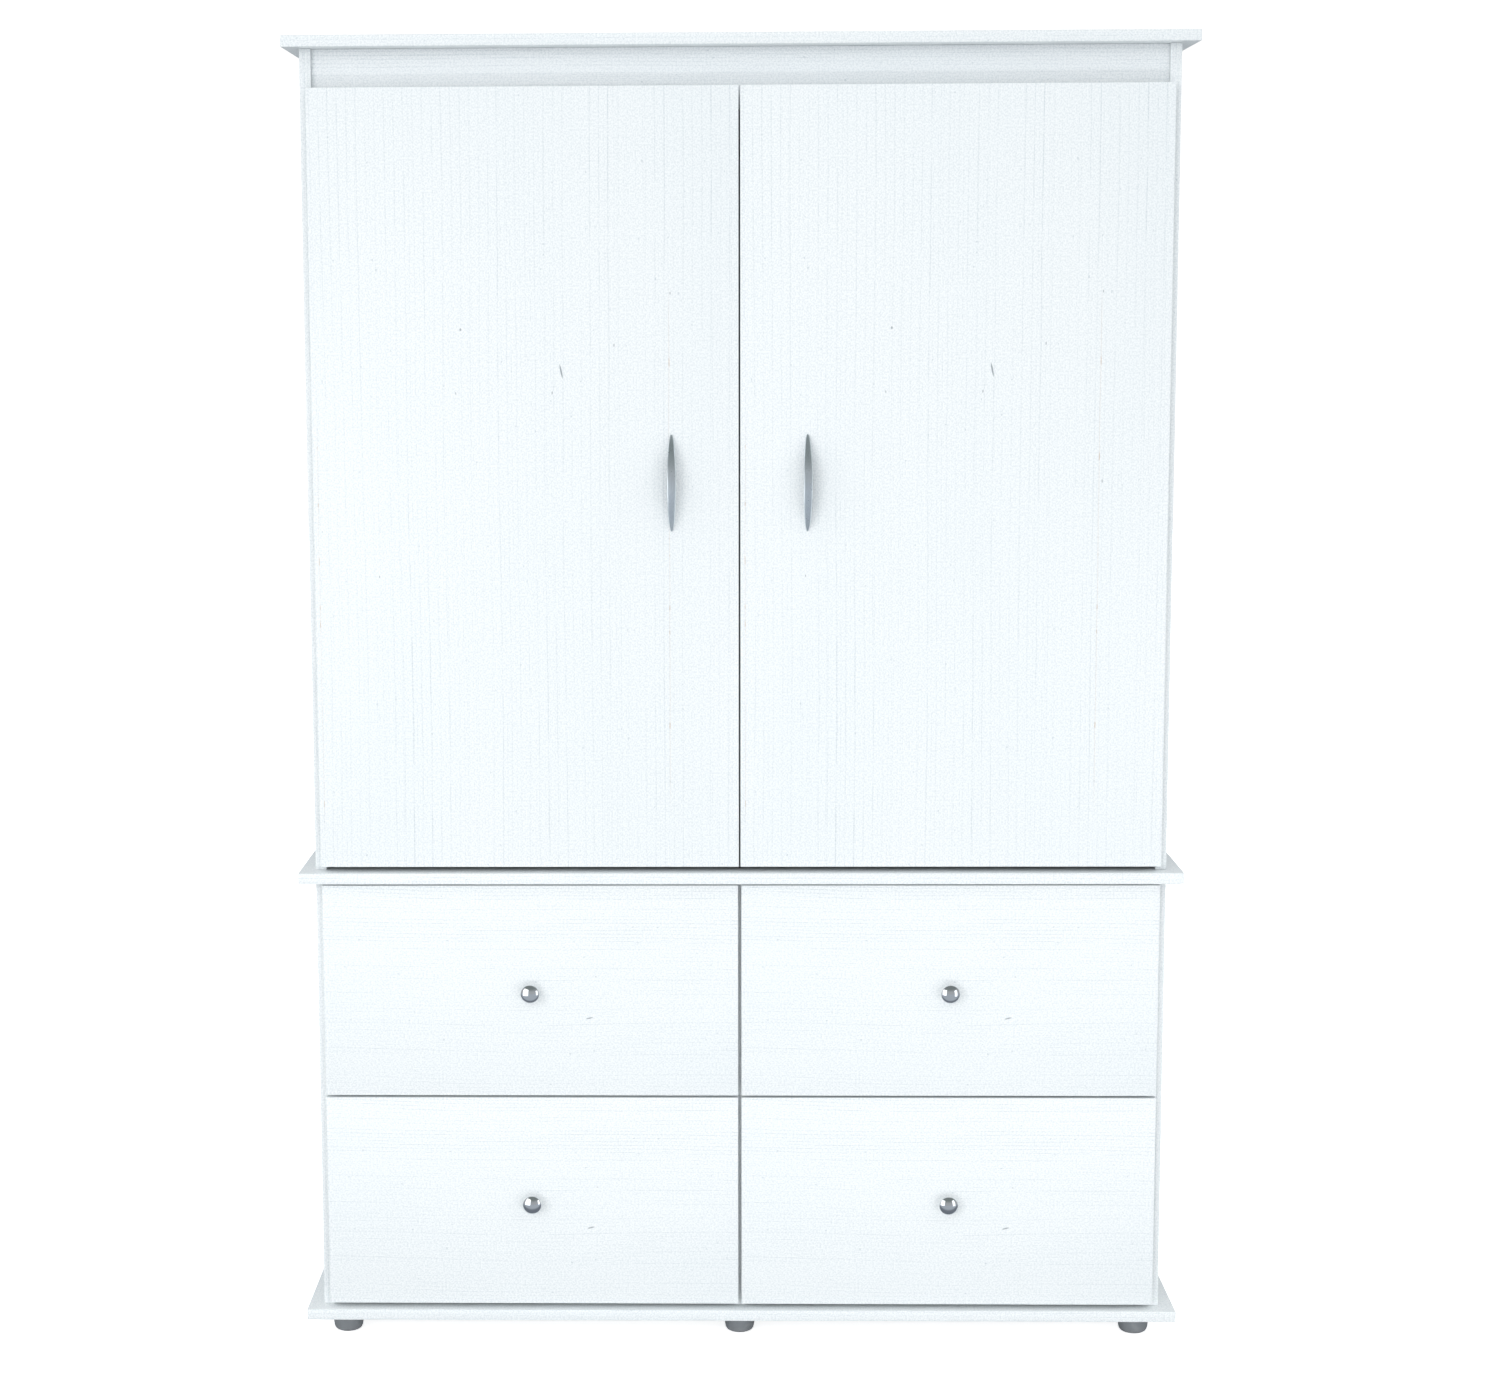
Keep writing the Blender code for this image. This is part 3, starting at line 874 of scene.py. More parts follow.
def rings_shape(
    rings: Sequence[Sequence[Vector]], smooth: bool = True
) -> bmesh.types.BMesh:
    """Skin a row of rings and close both ends.

    Args:
        rings: Equal rings of points.
        smooth: Shade the skin smooth.

    Returns:
        The shape.
    """
    bm = bmesh.new()
    rows = [[bm.verts.new(point) for point in ring] for ring in rings]
    for one, two in zip(rows, rows[1:]):
        for step in range(len(one)):
            after = (step + 1) % len(one)
            face = bm.faces.new((one[step], one[after], two[after], two[step]))
            face.smooth = smooth
    bm.faces.new(rows[0])
    bm.faces.new(rows[-1])
    bmesh.ops.recalc_face_normals(bm, faces=bm.faces)
    return bm


def lathe_rings(
    profile: Sequence[tuple[float, float]], segments: int, place: Matrix
) -> list[list[Vector]]:
    """Return the rings of a turned shape.

    Args:
        profile: Radius and height pairs along the axis.
        segments: How many points round the axis.
        place: Turns and moves the axis from Z through the origin.

    Returns:
        The rings.
    """
    rings = []
    for radius, height in profile:
        ring = []
        for step in range(segments):
            angle = math.tau * step / segments
            point = Vector((radius * math.cos(angle), radius * math.sin(angle), height))
            ring.append(place @ point)
        rings.append(ring)
    return rings


def rounded_profile(
    points: Sequence[tuple[float, float]], radius: float, steps: int = 4
) -> list[tuple[float, float]]:
    """Round the inner corners of a profile.

    Args:
        points: Radius and height pairs.
        radius: The radius that each corner gets, where there's room.
        steps: How many points round a corner.

    Returns:
        The rounded profile, with the same ends.
    """
    out = [points[0]]
    for before, at, after in zip(points, points[1:], points[2:]):
        corner = Vector(at)
        back, ahead = Vector(before) - corner, Vector(after) - corner
        reach = min(radius, back.length * 0.49, ahead.length * 0.49)
        start, stop = corner + back.normalized() * reach, corner + ahead.normalized() * reach
        for step in range(steps + 1):
            share = step / steps
            first, second = start.lerp(corner, share), corner.lerp(stop, share)
            out.append(tuple(first.lerp(second, share)))
    out.append(points[-1])
    return out


def facing(direction: Vector, at: Vector) -> Matrix:
    """Return the matrix that turns +Z to a direction and moves to a place."""
    turn = direction.to_track_quat("Z", "Y").to_matrix().to_4x4()
    return Matrix.Translation(at) @ turn


def cut_away(
    bm: bmesh.types.BMesh, cutters: Sequence[bmesh.types.BMesh]
) -> bmesh.types.BMesh:
    """Cut shapes out of a shape.

    Args:
        bm: The shape that is cut, which is freed.
        cutters: The shapes taken out of it, which are freed.

    Returns:
        What is left.
    """
    items = []
    for data in (bm, *cutters):
        bmesh.ops.recalc_face_normals(data, faces=data.faces)
        mesh = bpy.data.meshes.new("blank")
        data.to_mesh(mesh)
        data.free()
        item = bpy.data.objects.new("blank", mesh)
        bpy.context.scene.collection.objects.link(item)
        items.append(item)
    for cutter in items[1:]:
        cut = items[0].modifiers.new("cut", "BOOLEAN")
        cut.operation = "DIFFERENCE"
        cut.solver = "EXACT"
        cut.object = cutter
    depsgraph = bpy.context.evaluated_depsgraph_get()
    left = bpy.data.meshes.new_from_object(items[0].evaluated_get(depsgraph))
    result = bmesh.new()
    result.from_mesh(left)
    for item in items:
        bpy.data.objects.remove(item, do_unlink=True)
    return result


class Recipe(NodeTree):
    """A geometry tree with named inputs, run once into a plain mesh."""

    def __init__(self, name: str) -> None:
        """Start an empty tree with a geometry input."""
        super().__init__(bpy.data.node_groups.new(name, "GeometryNodeTree"))
        self.values: dict[str, Any] = {}
        face = self.tree.interface
        face.new_socket("Geometry", in_out="INPUT", socket_type="NodeSocketGeometry")
        face.new_socket("Geometry", in_out="OUTPUT", socket_type="NodeSocketGeometry")
        self.source = self.node("NodeGroupInput")

    def given(self, name: str, value: Any) -> Signal:
        """Add a named input.

        Args:
            name: The input's name.
            value: Its value: a number, a whole number, an object or a material.

        Returns:
            The input as a signal.
        """
        kinds = {
            float: "NodeSocketFloat",
            int: "NodeSocketInt",
            bpy.types.Object: "NodeSocketObject",
            bpy.types.Material: "NodeSocketMaterial",
        }
        made = self.tree.interface.new_socket(
            name, in_out="INPUT", socket_type=kinds[type(value)]
        )
        self.values[made.identifier] = value
        return Signal(self, self._socket(self.source.outputs, made.identifier))

    def points(self) -> Signal:
        """Return the geometry of the object that the tree runs on."""
        return Signal(self, self.source.outputs[0])

    def run(
        self, shape: Signal, finish: bpy.types.Material, host: Optional[bpy.types.Mesh] = None
    ) -> bpy.types.Mesh:
        """End the tree, run it and keep the result.

        Args:
            shape: The tree's last geometry.
            finish: The finish set on it.
            host: The mesh that the tree runs on.

        Returns:
            A plain mesh.
        """
        material = self.given("Finish", finish)
        real = self.signal("GeometryNodeRealizeInstances", None, {"Geometry": shape})
        done = self.signal(
            "GeometryNodeSetMaterial", None, {"Geometry": real, "Material": material}
        )
        self.node("NodeGroupOutput", None, {0: done})
        item = bpy.data.objects.new("jig", host or bpy.data.meshes.new("jig"))
        bpy.context.scene.collection.objects.link(item)
        modifier = item.modifiers.new("recipe", "NODES")
        modifier.node_group = self.tree
        for identifier, value in self.values.items():
            modifier[identifier] = value
        depsgraph = bpy.context.evaluated_depsgraph_get()
        mesh = bpy.data.meshes.new_from_object(item.evaluated_get(depsgraph))
        item.modifiers.remove(modifier)
        bpy.data.objects.remove(item, do_unlink=True)
        return mesh


# ---- fixings ----
@dataclass(frozen=True)
class Place:
    """Where a fixing sits and the way its head faces."""

    at: Vector
    way: Vector


@dataclass
class Fixings:
    """Screws, cam fittings and nails, set on places by geometry nodes."""

    box: Paintbox
    screw_radius: float = 0.0034
    screw_height: float = 0.0015
    recess: float = 0.0042
    cam_radius: float = 0.0075
    cam_height: float = 0.0007

    def _cross(self, size: float, width: float, top: float, depth: float) -> bmesh.types.BMesh:
        """Return a cross-shaped cutter.

        Args:
            size: Its length from tip to tip.
            width: The width of each arm.
            top: The height it is cut from.
            depth: How deep it goes.

        Returns:
            The cutter.
        """
        a, b = size / 2.0, width / 2.0
        outline = [
            (-b, -a), (b, -a), (b, -b), (a, -b), (a, b), (b, b),
            (b, a), (-b, a), (-b, b), (-a, b), (-a, -b), (-b, -b),
        ]
        rings = [
            [Vector((x, y, level)) for x, y in outline]
            for level in (top - depth, top + depth)
        ]
        return rings_shape(rings, smooth=False)

    def screw_head(self) -> bmesh.types.BMesh:
        """Return a domed head with a cross recess, facing +Z from its seat."""
        radius, height = self.screw_radius, self.screw_height
        profile = [
            (radius, 0.0),
            (radius, height * 0.35),
            (radius * 0.93, height * 0.66),
            (radius * 0.72, height * 0.92),
            (radius * 0.42, height),
        ]
        dome = rings_shape(lathe_rings(profile, 14, Matrix.Identity(4)))
        cross = self._cross(self.recess, self.recess * 0.24, height, height * 0.55)
        return cut_away(dome, [cross])

    def cam_head(self) -> bmesh.types.BMesh:
        """Return a flat cam disc with a cross recess, facing +Z from its seat."""
        radius, height = self.cam_radius, self.cam_height
        profile = [(radius, 0.0), (radius, height * 0.6), (radius - 0.0004, height)]
        disc = rings_shape(lathe_rings(profile, 20, Matrix.Identity(4)))
        cross = self._cross(radius * 1.25, radius * 0.24, height, height * 0.7)
        return cut_away(disc, [cross])

    def set_heads(
        self, piece: Piece, head: bmesh.types.BMesh, places: Sequence[Place], seed: int
    ) -> bpy.types.Object:
        """Set one head on each place, turned by a seeded amount.

        Args:
            piece: The piece that all the heads become.
            head: The head's shape, which is freed.
            places: Where the heads go.
            seed: The seed of their turns.

        Returns:
            The object.
        """
        head_mesh = bpy.data.meshes.new("head")
        head.to_mesh(head_mesh)
        head.free()
        head_item = bpy.data.objects.new("head", head_mesh)
        bpy.context.scene.collection.objects.link(head_item)
        host = bpy.data.meshes.new("places")
        host.from_pydata([place.at for place in places], [], [])
        ways = host.attributes.new("way", "FLOAT_VECTOR", "POINT")
        for entry, place in zip(ways.data, places):
            entry.vector = place.way
        recipe = Recipe("fixing_heads")
        shape = recipe.signal(
            "GeometryNodeObjectInfo",
            {"transform_space": "ORIGINAL"},
            {"Object": recipe.given("Head", head_item)},
            "Geometry",
        )
        way = recipe.signal(
            "GeometryNodeInputNamedAttribute",
            {"data_type": "FLOAT_VECTOR"},
            {"Name": "way"},
            "Attribute",
        )
        upright = recipe.signal(
            "FunctionNodeAlignRotationToVector", {"axis": "Z"}, {"Vector": way}
        )
        spin = recipe.signal(
            "FunctionNodeRandomValue",
            {"data_type": "FLOAT"},
            {"Min_001": 0.0, "Max_001": math.tau, "Seed": recipe.given("Seed", seed)},
            "Value_001",
        )
        turned = recipe.signal(
            "FunctionNodeRotateRotation",
            {"rotation_space": "LOCAL"},
            {"Rotation": upright, "Rotate By": recipe.combine(0.0, 0.0, spin)},
        )
        heads = recipe.signal(
            "GeometryNodeInstanceOnPoints",
            None,
            {"Points": recipe.points(), "Instance": shape, "Rotation": turned},
        )
        mesh = recipe.run(heads, piece.finishes[0], host)
        bpy.data.objects.remove(head_item, do_unlink=True)
        return piece.settle(mesh)

    def set_screws(self, name: str, body: str, places: Sequence[Place], seed: int) -> None:
        """Set steel screw heads on their places, as one piece.

        Args:
            name: The piece's name.
            body: The body it rides on.
            places: Where the heads go.
            seed: The seed of their turns.
        """
        piece = Piece(name, body, "zinc_steel", self.box.several("dull_steel"))
        self.set_heads(piece, self.screw_head(), places, seed)

    def nail_round(
        self, piece: Piece, centre: Vector, width: float, height: float, spacing: float
    ) -> bpy.types.Object:
        """Set nail heads round an upright rectangle, facing +Y.

        Args:
            piece: The piece that the nails become.
            centre: The rectangle's centre, on the seat of the heads.
            width: The rectangle's width.
            height: The rectangle's height.
            spacing: The distance between nails.

        Returns:
            The object.
        """
        recipe = Recipe("nail_line")
        line = recipe.signal(
            "GeometryNodeCurvePrimitiveQuadrilateral",
            None,
            {
                "Width": recipe.given("Width", width),
                "Height": recipe.given("Height", height),
            },
        )
        spots = recipe.signal(
            "GeometryNodeResampleCurve",
            {"mode": "LENGTH"},
            {"Curve": line, "Length": recipe.given("Spacing", spacing)},
        )
        head = recipe.signal(
            "GeometryNodeMeshCone",
            None,
            {
                "Vertices": 10,
                "Side Segments": 1,
                "Radius Top": recipe.given("Crown Radius", 0.0013),
                "Radius Bottom": recipe.given("Head Radius", 0.0019),
                "Depth": recipe.given("Head Depth", 0.0004),
            },
            "Mesh",
        )
        nails = recipe.signal(
            "GeometryNodeInstanceOnPoints", None, {"Points": spots, "Instance": head}
        )
        stood = recipe.signal(
            "GeometryNodeTransform",
            None,
            {
                "Geometry": nails,
                "Translation": tuple(centre),
                "Rotation": (-math.pi / 2.0, 0.0, 0.0),
            },
        )
        return piece.settle(recipe.run(stood, piece.finishes[0]))


# ---- carcass ----
@dataclass
class Carcass:
    """The three through boards, the panels between them, the rail and the backs."""

    box: Paintbox
    fixings: Fixings
    board_ease: float = 0.0008
    panel_ease: float = 0.0004
    rail_reach: float = 0.00026
    nail_inset: float = 0.0075
    nail_spacing: float = 0.098
    nail_seat: float = 0.0001
    back_thinned: float = 0.0006
    cam_from_edge: float = 0.034
    cam_from_front: float = 0.055
    board_seed: float = 20.0
    board_seed_step: float = 4.0
    side_seed: float = 40.0
    partition_seed: float = 52.0
    rail_seed: float = 61.0
    back_seed: float = 70.0

    def build(self) -> None:
        """Build every board of the carcass."""
        for seed, name in enumerate(("cornice_top", "mid_board", "base_board")):
            self._through_board(name, self.board_seed + seed * self.board_seed_step)
        for level in LEVELS:
            for side in SIDES:
                seed = self.side_seed + len(level) * SIDES[side]
                self._panel(f"{level}_side_{side}", seed)
        self._panel("drawer_partition", self.partition_seed)
        self._rail()
        self._backs()
        self._cams()

    def _board(
        self,
        name: str,
        kind: str,
        corners: tuple[Vector, Vector],
        face: Whitewash,
        ease: float,
        facings: Facings,
    ) -> None:
        """Build one printed board with banded and raw edges.

        Args:
            name: The node that it stands for.
            kind: The last word of its name.
            corners: Its lowest and highest corner.
            face: The print.
            ease: The radius of its edges.
            facings: Which way each finish faces.
        """
        bm = board_shape(*corners, ease)
        paint_by_facing(bm, facings)
        edges = self.box.several("edge_band", "arris", "chipboard")
        finishes = [self.box.whitewash(name, face), *edges]
        piece = Piece(f"{name}_{kind}", "carcass", "whitewashed_board", finishes, [name])
        piece.settle_bm(bm)

    def _through_board(self, name: str, seed: float) -> None:
        """Build a board that runs through and projects, banded at its front and ends."""
        low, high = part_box(name)
        face = Whitewash(Grain.ACROSS, tuple(low), seed, gap=0.0058, depth=0.34)
        self._board(name, "board", (low, high), face, self.board_ease, THROUGH_FACES)

    def _panel(self, name: str, seed: float) -> None:
        """Build an upright panel, banded at its front."""
        low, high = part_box(name)
        face = Whitewash(Grain.UPRIGHT, tuple(low), seed)
        self._board(name, "panel", (low, high), face, self.panel_ease, PANEL_FACES)

    def _rail(self) -> None:
        """Build the rail under the cornice, banded at its lower edge."""
        low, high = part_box("top_rail")
        low.x -= self.rail_reach
        high.x += self.rail_reach
        # The rail's print is painted lighter than the other boards' print: painted light that
        # makes up for the shade the rail gets under the cornice.
        tone = {"white": (0.900, 0.920, 0.930), "cool": (0.878, 0.905, 0.920)}
        seed = self.rail_seed
        face = Whitewash(Grain.ACROSS, tuple(low), seed, gap=0.0050, depth=0.34, **tone)
        self._board("top_rail", "board", (low, high), face, self.panel_ease, RAIL_FACES)

    def _backs(self) -> None:
        """Build the two thin backs, with printed inner faces, and nail them on."""
        for level in LEVELS:
            name = f"{level}_back"
            low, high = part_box(name)
            high.y -= self.back_thinned
            seed = self.back_seed + len(level)
            face = Whitewash(Grain.UPRIGHT, tuple(low), seed, depth=0.34)
            bm = board_shape(low, high, SHEET_EASE, 2)
            paint_by_facing(bm, [((0, -1, 0), PRINT)], 1)
            finishes = [self.box.whitewash(name, face), *self.box.several("hardboard")]
            Piece(f"{name}_panel", "carcass", "back_hardboard", finishes, [name]).settle_bm(bm)
            centre = (low + high) / 2.0
            centre.y = high.y + self.nail_seat
            steel = self.box.several("dull_steel")
            nails = Piece(f"{name}_nails", "carcass", "zinc_steel", steel)
            width = high.x - low.x - 2.0 * self.nail_inset
            height = high.z - low.z - 2.0 * self.nail_inset
            self.fixings.nail_round(nails, centre, width, height, self.nail_spacing)

    def _cams(self) -> None:
        """Set the cam fittings that hold the panels to the boards, inside the carcass."""
        places = []
        for level in LEVELS:
            for side, sign in SIDES.items():
                low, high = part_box(f"{level}_side_{side}")
                wall = low.x if sign > 0 else high.x
                for y in (low.y + self.cam_from_front, high.y - self.cam_from_front):
                    for z in (low.z + self.cam_from_edge, high.z - self.cam_from_edge):
                        places.append(Place(Vector((wall, y, z)), Vector((-sign, 0, 0))))
        cams = Piece("carcass_cams", "carcass", "zinc_steel", self.box.several("zinc_plate"))
        self.fixings.set_heads(cams, self.fixings.cam_head(), places, CAM_SEED)


@dataclass
class Feet:
    """Six tapered feet of grey nylon."""

    box: Paintbox
    rim: float = 0.0012
    segments: int = 48

    def build(self) -> None:
        """Turn each foot and round its lower edge."""
        for row in ("front", "rear"):
            for column in ("left", "middle", "right"):
                name = f"foot_{row}_{column}"
                low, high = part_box(name)
                centre = (low + high) / 2.0
                top = (high.x - low.x) / 2.0
                tall = high.z - low.z
                profile = [
                    (0.0030, 0.0022), (0.0052, 0.0022), (0.0058, 0.0),
                    (top * 0.70, 0.0), (top * 0.84, tall * 0.06), (top * 0.915, tall * 0.16),
                    (top * 0.96, tall * 0.34), (top * 0.985, tall * 0.56),
                    (top * 0.99, tall * 0.80), (top, tall * 0.84), (top, tall),
                ]
                shape = rounded_profile(profile, self.rim)
                place = Matrix.Translation((centre.x, centre.y, low.z))
                bm = rings_shape(lathe_rings(shape, self.segments, place))
                nylon = self.box.several("grey_nylon")
                piece = Piece(f"{name}_turned", "carcass", "grey_plastic", nylon, [name])
                piece.settle_bm(bm)


@dataclass
class Rod:
    """The oval clothes rod and the two sockets that hold it."""

    box: Paintbox
    fixings: Fixings
    plate: float = 0.0020
    screw_rise: float = 0.0208
    socket_edge: float = 0.0006
    segments: int = 40

    def build(self) -> None:
        """Build the rod, its sockets and their screws."""
        low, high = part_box("hanging_rod")
        centre = (low + high) / 2.0
        self._tube(low, high, centre)
        places = []
        for side, sign in SIDES.items():
            self._socket(side, sign, centre)
            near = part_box(f"rod_socket_{side}")
            wall = near[0].x if sign < 0 else near[1].x
            face = wall - sign * self.plate
            for rise in (-self.screw_rise, self.screw_rise):
                at = Vector((face, centre.y, centre.z + rise))
                places.append(Place(at, Vector((-sign, 0, 0))))
        self.fixings.set_screws("rod_socket_screws", "carcass", places, ROD_SEED)

    def _tube(self, low: Vector, high: Vector, centre: Vector) -> None:
        """Sweep the rod's oval along its length.

        Args:
            low: The rod's lowest corner.
            high: The rod's highest corner.
            centre: Its centre.
        """
        recipe = Recipe("rod_sweep")
        tall = recipe.given("Height", high.z - low.z)
        wide = recipe.given("Width", high.y - low.y)
        line = recipe.signal(
            "GeometryNodeCurvePrimitiveLine",
            None,
            {
                "Start": (low.x, centre.y, centre.z),
                "End": (high.x, centre.y, centre.z),
            },
        )
        outline = recipe.signal(
            "GeometryNodeCurvePrimitiveQuadrilateral", None, {"Width": wide, "Height": tall}
        )
        oval = recipe.signal(
            "GeometryNodeFilletCurve",
            {"mode": "POLY"},
            {
                "Curve": outline,
                "Count": recipe.given("Corner Steps", 8),
                "Radius": wide * 0.499,
            },
        )
        tube = recipe.signal(
            "GeometryNodeCurveToMesh",
            None,
            {"Curve": line, "Profile Curve": oval, "Fill Caps": True},
        )
        chrome = self.box.several("polished_chrome")
        mesh = recipe.run(tube, chrome[0])
        mesh.shade_smooth()
        mesh.set_sharp_from_angle(angle=math.radians(40.0))
        Piece("hanging_rod_tube", "carcass", "chrome", chrome, ["hanging_rod"]).settle(mesh)

    def _oval(self, tall: float, wide: float, x: float, centre: Vector) -> list[Vector]:
        """Return an upright oval ring.

        Args:
            tall: Its height.
            wide: Its width.
            x: Where it stands.
            centre: The rod's centre.

        Returns:
            The ring's points.
        """
        radius = wide / 2.0
        straight = tall / 2.0 - radius
        ring = []
        for step in range(self.segments):
            angle = math.tau * (step + 0.5) / self.segments
            rise = straight if math.sin(angle) > 0 else -straight
            y = centre.y + radius * math.cos(angle)
            ring.append(Vector((x, y, centre.z + radius * math.sin(angle) + rise)))
        return ring

    def _socket(self, side: str, sign: float, centre: Vector) -> None:
        """Build the socket at one end of the rod.

        Args:
            side: Which end.
            sign: -1 at the left, 1 at the right.
            centre: The rod's centre.
        """
        low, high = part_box(f"rod_socket_{side}")
        wall = low.x if sign < 0 else high.x
        mouth = high.x if sign < 0 else low.x
        tall, wide = high.z - low.z, high.y - low.y
        inward = -sign
        edge = self.socket_edge
        lip = wall + inward * self.plate
        steps = [
            (tall, wide, wall),
            (tall, wide, lip - inward * edge),
            (tall - edge, wide - edge, lip),
            (0.0345, 0.0195, lip),
            (0.0338, 0.0188, lip + inward * edge),
            (0.0336, 0.0186, mouth - inward * edge),
            (0.0330, 0.0180, mouth),
            (0.0308, 0.0158, mouth),
            (0.0306, 0.0156, lip),
        ]
        rings = [self._oval(*size, x, centre) for *size, x in steps]
        zinc, name = self.box.several("zinc_plate"), f"rod_socket_{side}"
        piece = Piece(f"{name}_cast", "carcass", "zinc_steel", zinc, [name])
        piece.settle_bm(rings_shape(rings))


# ---- doors ----
@dataclass
class Handle:
    """A leaf-shaped bow handle, whose width and rise follow its length."""

    box: Paintbox
    tip_width: float = 0.0006
    tip_rise: float = 0.0016
    arch: float = 0.0205
    arch_half: float = 0.040
    boxy: float = 0.24
    rows: int = 121
    round: int = 29

    def build(self, side: str) -> None:
        """Build one handle where its node stands.

        Args:
            side: Which door it is on.
        """
        name = f"handle_{side}"
        low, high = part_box(name)
        mesh = self._bow(low, high)
        mesh.shade_smooth()
        mesh.set_sharp_from_angle(angle=math.radians(48.0))
        nickel = self.box.several("satin_nickel")
        Piece(f"{name}_bow", f"{side}_door", "satin_metal", nickel, [name]).settle(mesh)

    def _bow(self, low: Vector, high: Vector) -> bpy.types.Mesh:
        """Shape the bow from a grid rolled into a tube.

        Args:
            low: The handle's lowest corner.
            high: The handle's highest corner.

        Returns:
            The bow's mesh.
        """
        centre = (low + high) / 2.0
        recipe = Recipe("bow_handle")
        length = recipe.given("Length", high.z - low.z)
        width = recipe.given("Width", high.x - low.x)
        rise = recipe.given("Rise", high.y - low.y)
        grid = recipe.signal(
            "GeometryNodeMeshGrid",
            None,
            {"Size X": 2.0, "Size Y": 1.0, "Vertices X": self.rows, "Vertices Y": self.round},
            "Mesh",
        )
        where = recipe.signal("GeometryNodeInputPosition")
        share, turn, _ = recipe.split(where)
        share = share * (1.5 - 0.5 * share * share)
        angle = turn * math.tau
        swell = (1.0 - share * share).at_least(0.0)
        wide = (width - self.tip_width) * swell**0.5 + self.tip_width
        outer = self.tip_rise + (rise - self.tip_rise) * (1.0 - abs(share) ** 2.1)
        far = abs(share) * length * 0.5 / self.arch_half
        inner = (1.0 - far * far).at_least(0.0) ** 0.62 * self.arch
        sine, cosine = recipe.math("SINE", angle), recipe.math("COSINE", angle)
        round_edge = recipe.math("SIGN", cosine) * abs(cosine) ** self.boxy
        middle, half = (outer + inner) * 0.5, (outer - inner) * 0.5
        depth = middle + half * round_edge
        across = recipe.math("SIGN", sine) * abs(sine) ** (self.boxy + 0.06) * wide * 0.5
        shaped = recipe.signal(
            "GeometryNodeSetPosition",
            None,
            {
                "Geometry": grid,
                "Position": recipe.combine(
                    across + centre.x, high.y - depth, share * length * 0.5 + centre.z
                ),
            },
        )
        closed = recipe.signal(
            "GeometryNodeMergeByDistance", None, {"Geometry": shaped, "Distance": 0.00001}
        )
        mesh = recipe.run(closed, self.box.plain_finish("satin_nickel"))
        bm = bmesh.new()
        bm.from_mesh(mesh)
        bmesh.ops.holes_fill(bm, edges=bm.edges, sides=0)
        bmesh.ops.recalc_face_normals(bm, faces=bm.faces)
        bm.to_mesh(mesh)
        bm.free()
        return mesh


@dataclass
class Door:
    """One slab door with its bores, hinge cups, handle and screws."""

    box: Paintbox
    fixings: Fixings
    side: str
    ease: float = 0.0005
    bore_radius: float = 0.0175
    bore_depth: float = 0.0115
    bore_slack: float = 0.0002
    flange_screw_rise: float = 0.0245
    handle_screw_rise: float = 0.0500
    flange: float = 0.0012
    print_seed: float = 5.0

    def build(self) -> None:
        """Build the door and what rides on it."""
        name = f"door_{self.side}"
        low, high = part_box(name)
        bm = board_shape(low, high, self.ease)
        cutters = []
        for place_name in HINGE_PLACES:
            cup = self._cup_centre(place_name)
            seat = Vector((cup.x, high.y - self.bore_depth, cup.z))
            profile = [(self.bore_radius, 0.0), (self.bore_radius, self.bore_depth + 0.004)]
            way = facing(Vector((0, 1, 0)), seat)
            cutters.append(rings_shape(lathe_rings(profile, 40, way), smooth=False))
        bm = cut_away(bm, cutters)
        paint_by_facing(bm, SLAB_FACES)
        deepest = high.y - self.bore_depth * 0.98 - 0.001
        for face in bm.faces:
            middle = face.calc_center_median()
            if not deepest < middle.y < high.y - self.bore_slack:
                continue
            for place_name in HINGE_PLACES:
                gap = middle - self._cup_centre(place_name)
                gap.y = 0.0
                if gap.length < self.bore_radius + self.bore_slack:
                    face.material_index = RAW
        print_on = Whitewash(
            Grain.UPRIGHT, tuple(low), self.print_seed, flecks=DOOR_FLECKS, resin=DOOR_RESIN
        )
        edges = self.box.several("edge_band", "arris", "chipboard")
        finishes = [self.box.whitewash(name, print_on), *edges]
        body = f"{self.side}_door"
        Piece(f"{name}_slab", body, "whitewashed_board", finishes, [name]).settle_bm(bm)
        Handle(self.box).build(self.side)
        self._screws(body, high.y)

    def _cup_centre(self, place_name: str) -> Vector:
        """Return the middle of a hinge cup."""
        low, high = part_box(f"hinge_cup_{self.side}_{place_name}")
        return (low + high) / 2.0

    def _screws(self, body: str, back: float) -> None:
        """Set the screws of the cups and of the handle on the door's back.

        Args:
            body: The door's body.
            back: Where the door's back face is.
        """
        inward = Vector((0, 1, 0))
        places = []
        for place_name in HINGE_PLACES:
            cup = self._cup_centre(place_name)
            for rise in (-self.flange_screw_rise, self.flange_screw_rise):
                at = Vector((cup.x, back + self.flange, cup.z + rise))
                places.append(Place(at, inward))
        low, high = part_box(f"handle_{self.side}")
        middle = (low + high) / 2.0
        for rise in (-self.handle_screw_rise, self.handle_screw_rise):
            places.append(Place(Vector((middle.x, back, middle.z + rise)), inward))
        self.fixings.set_screws(f"door_{self.side}_screws", body, places, DOOR_SEED)


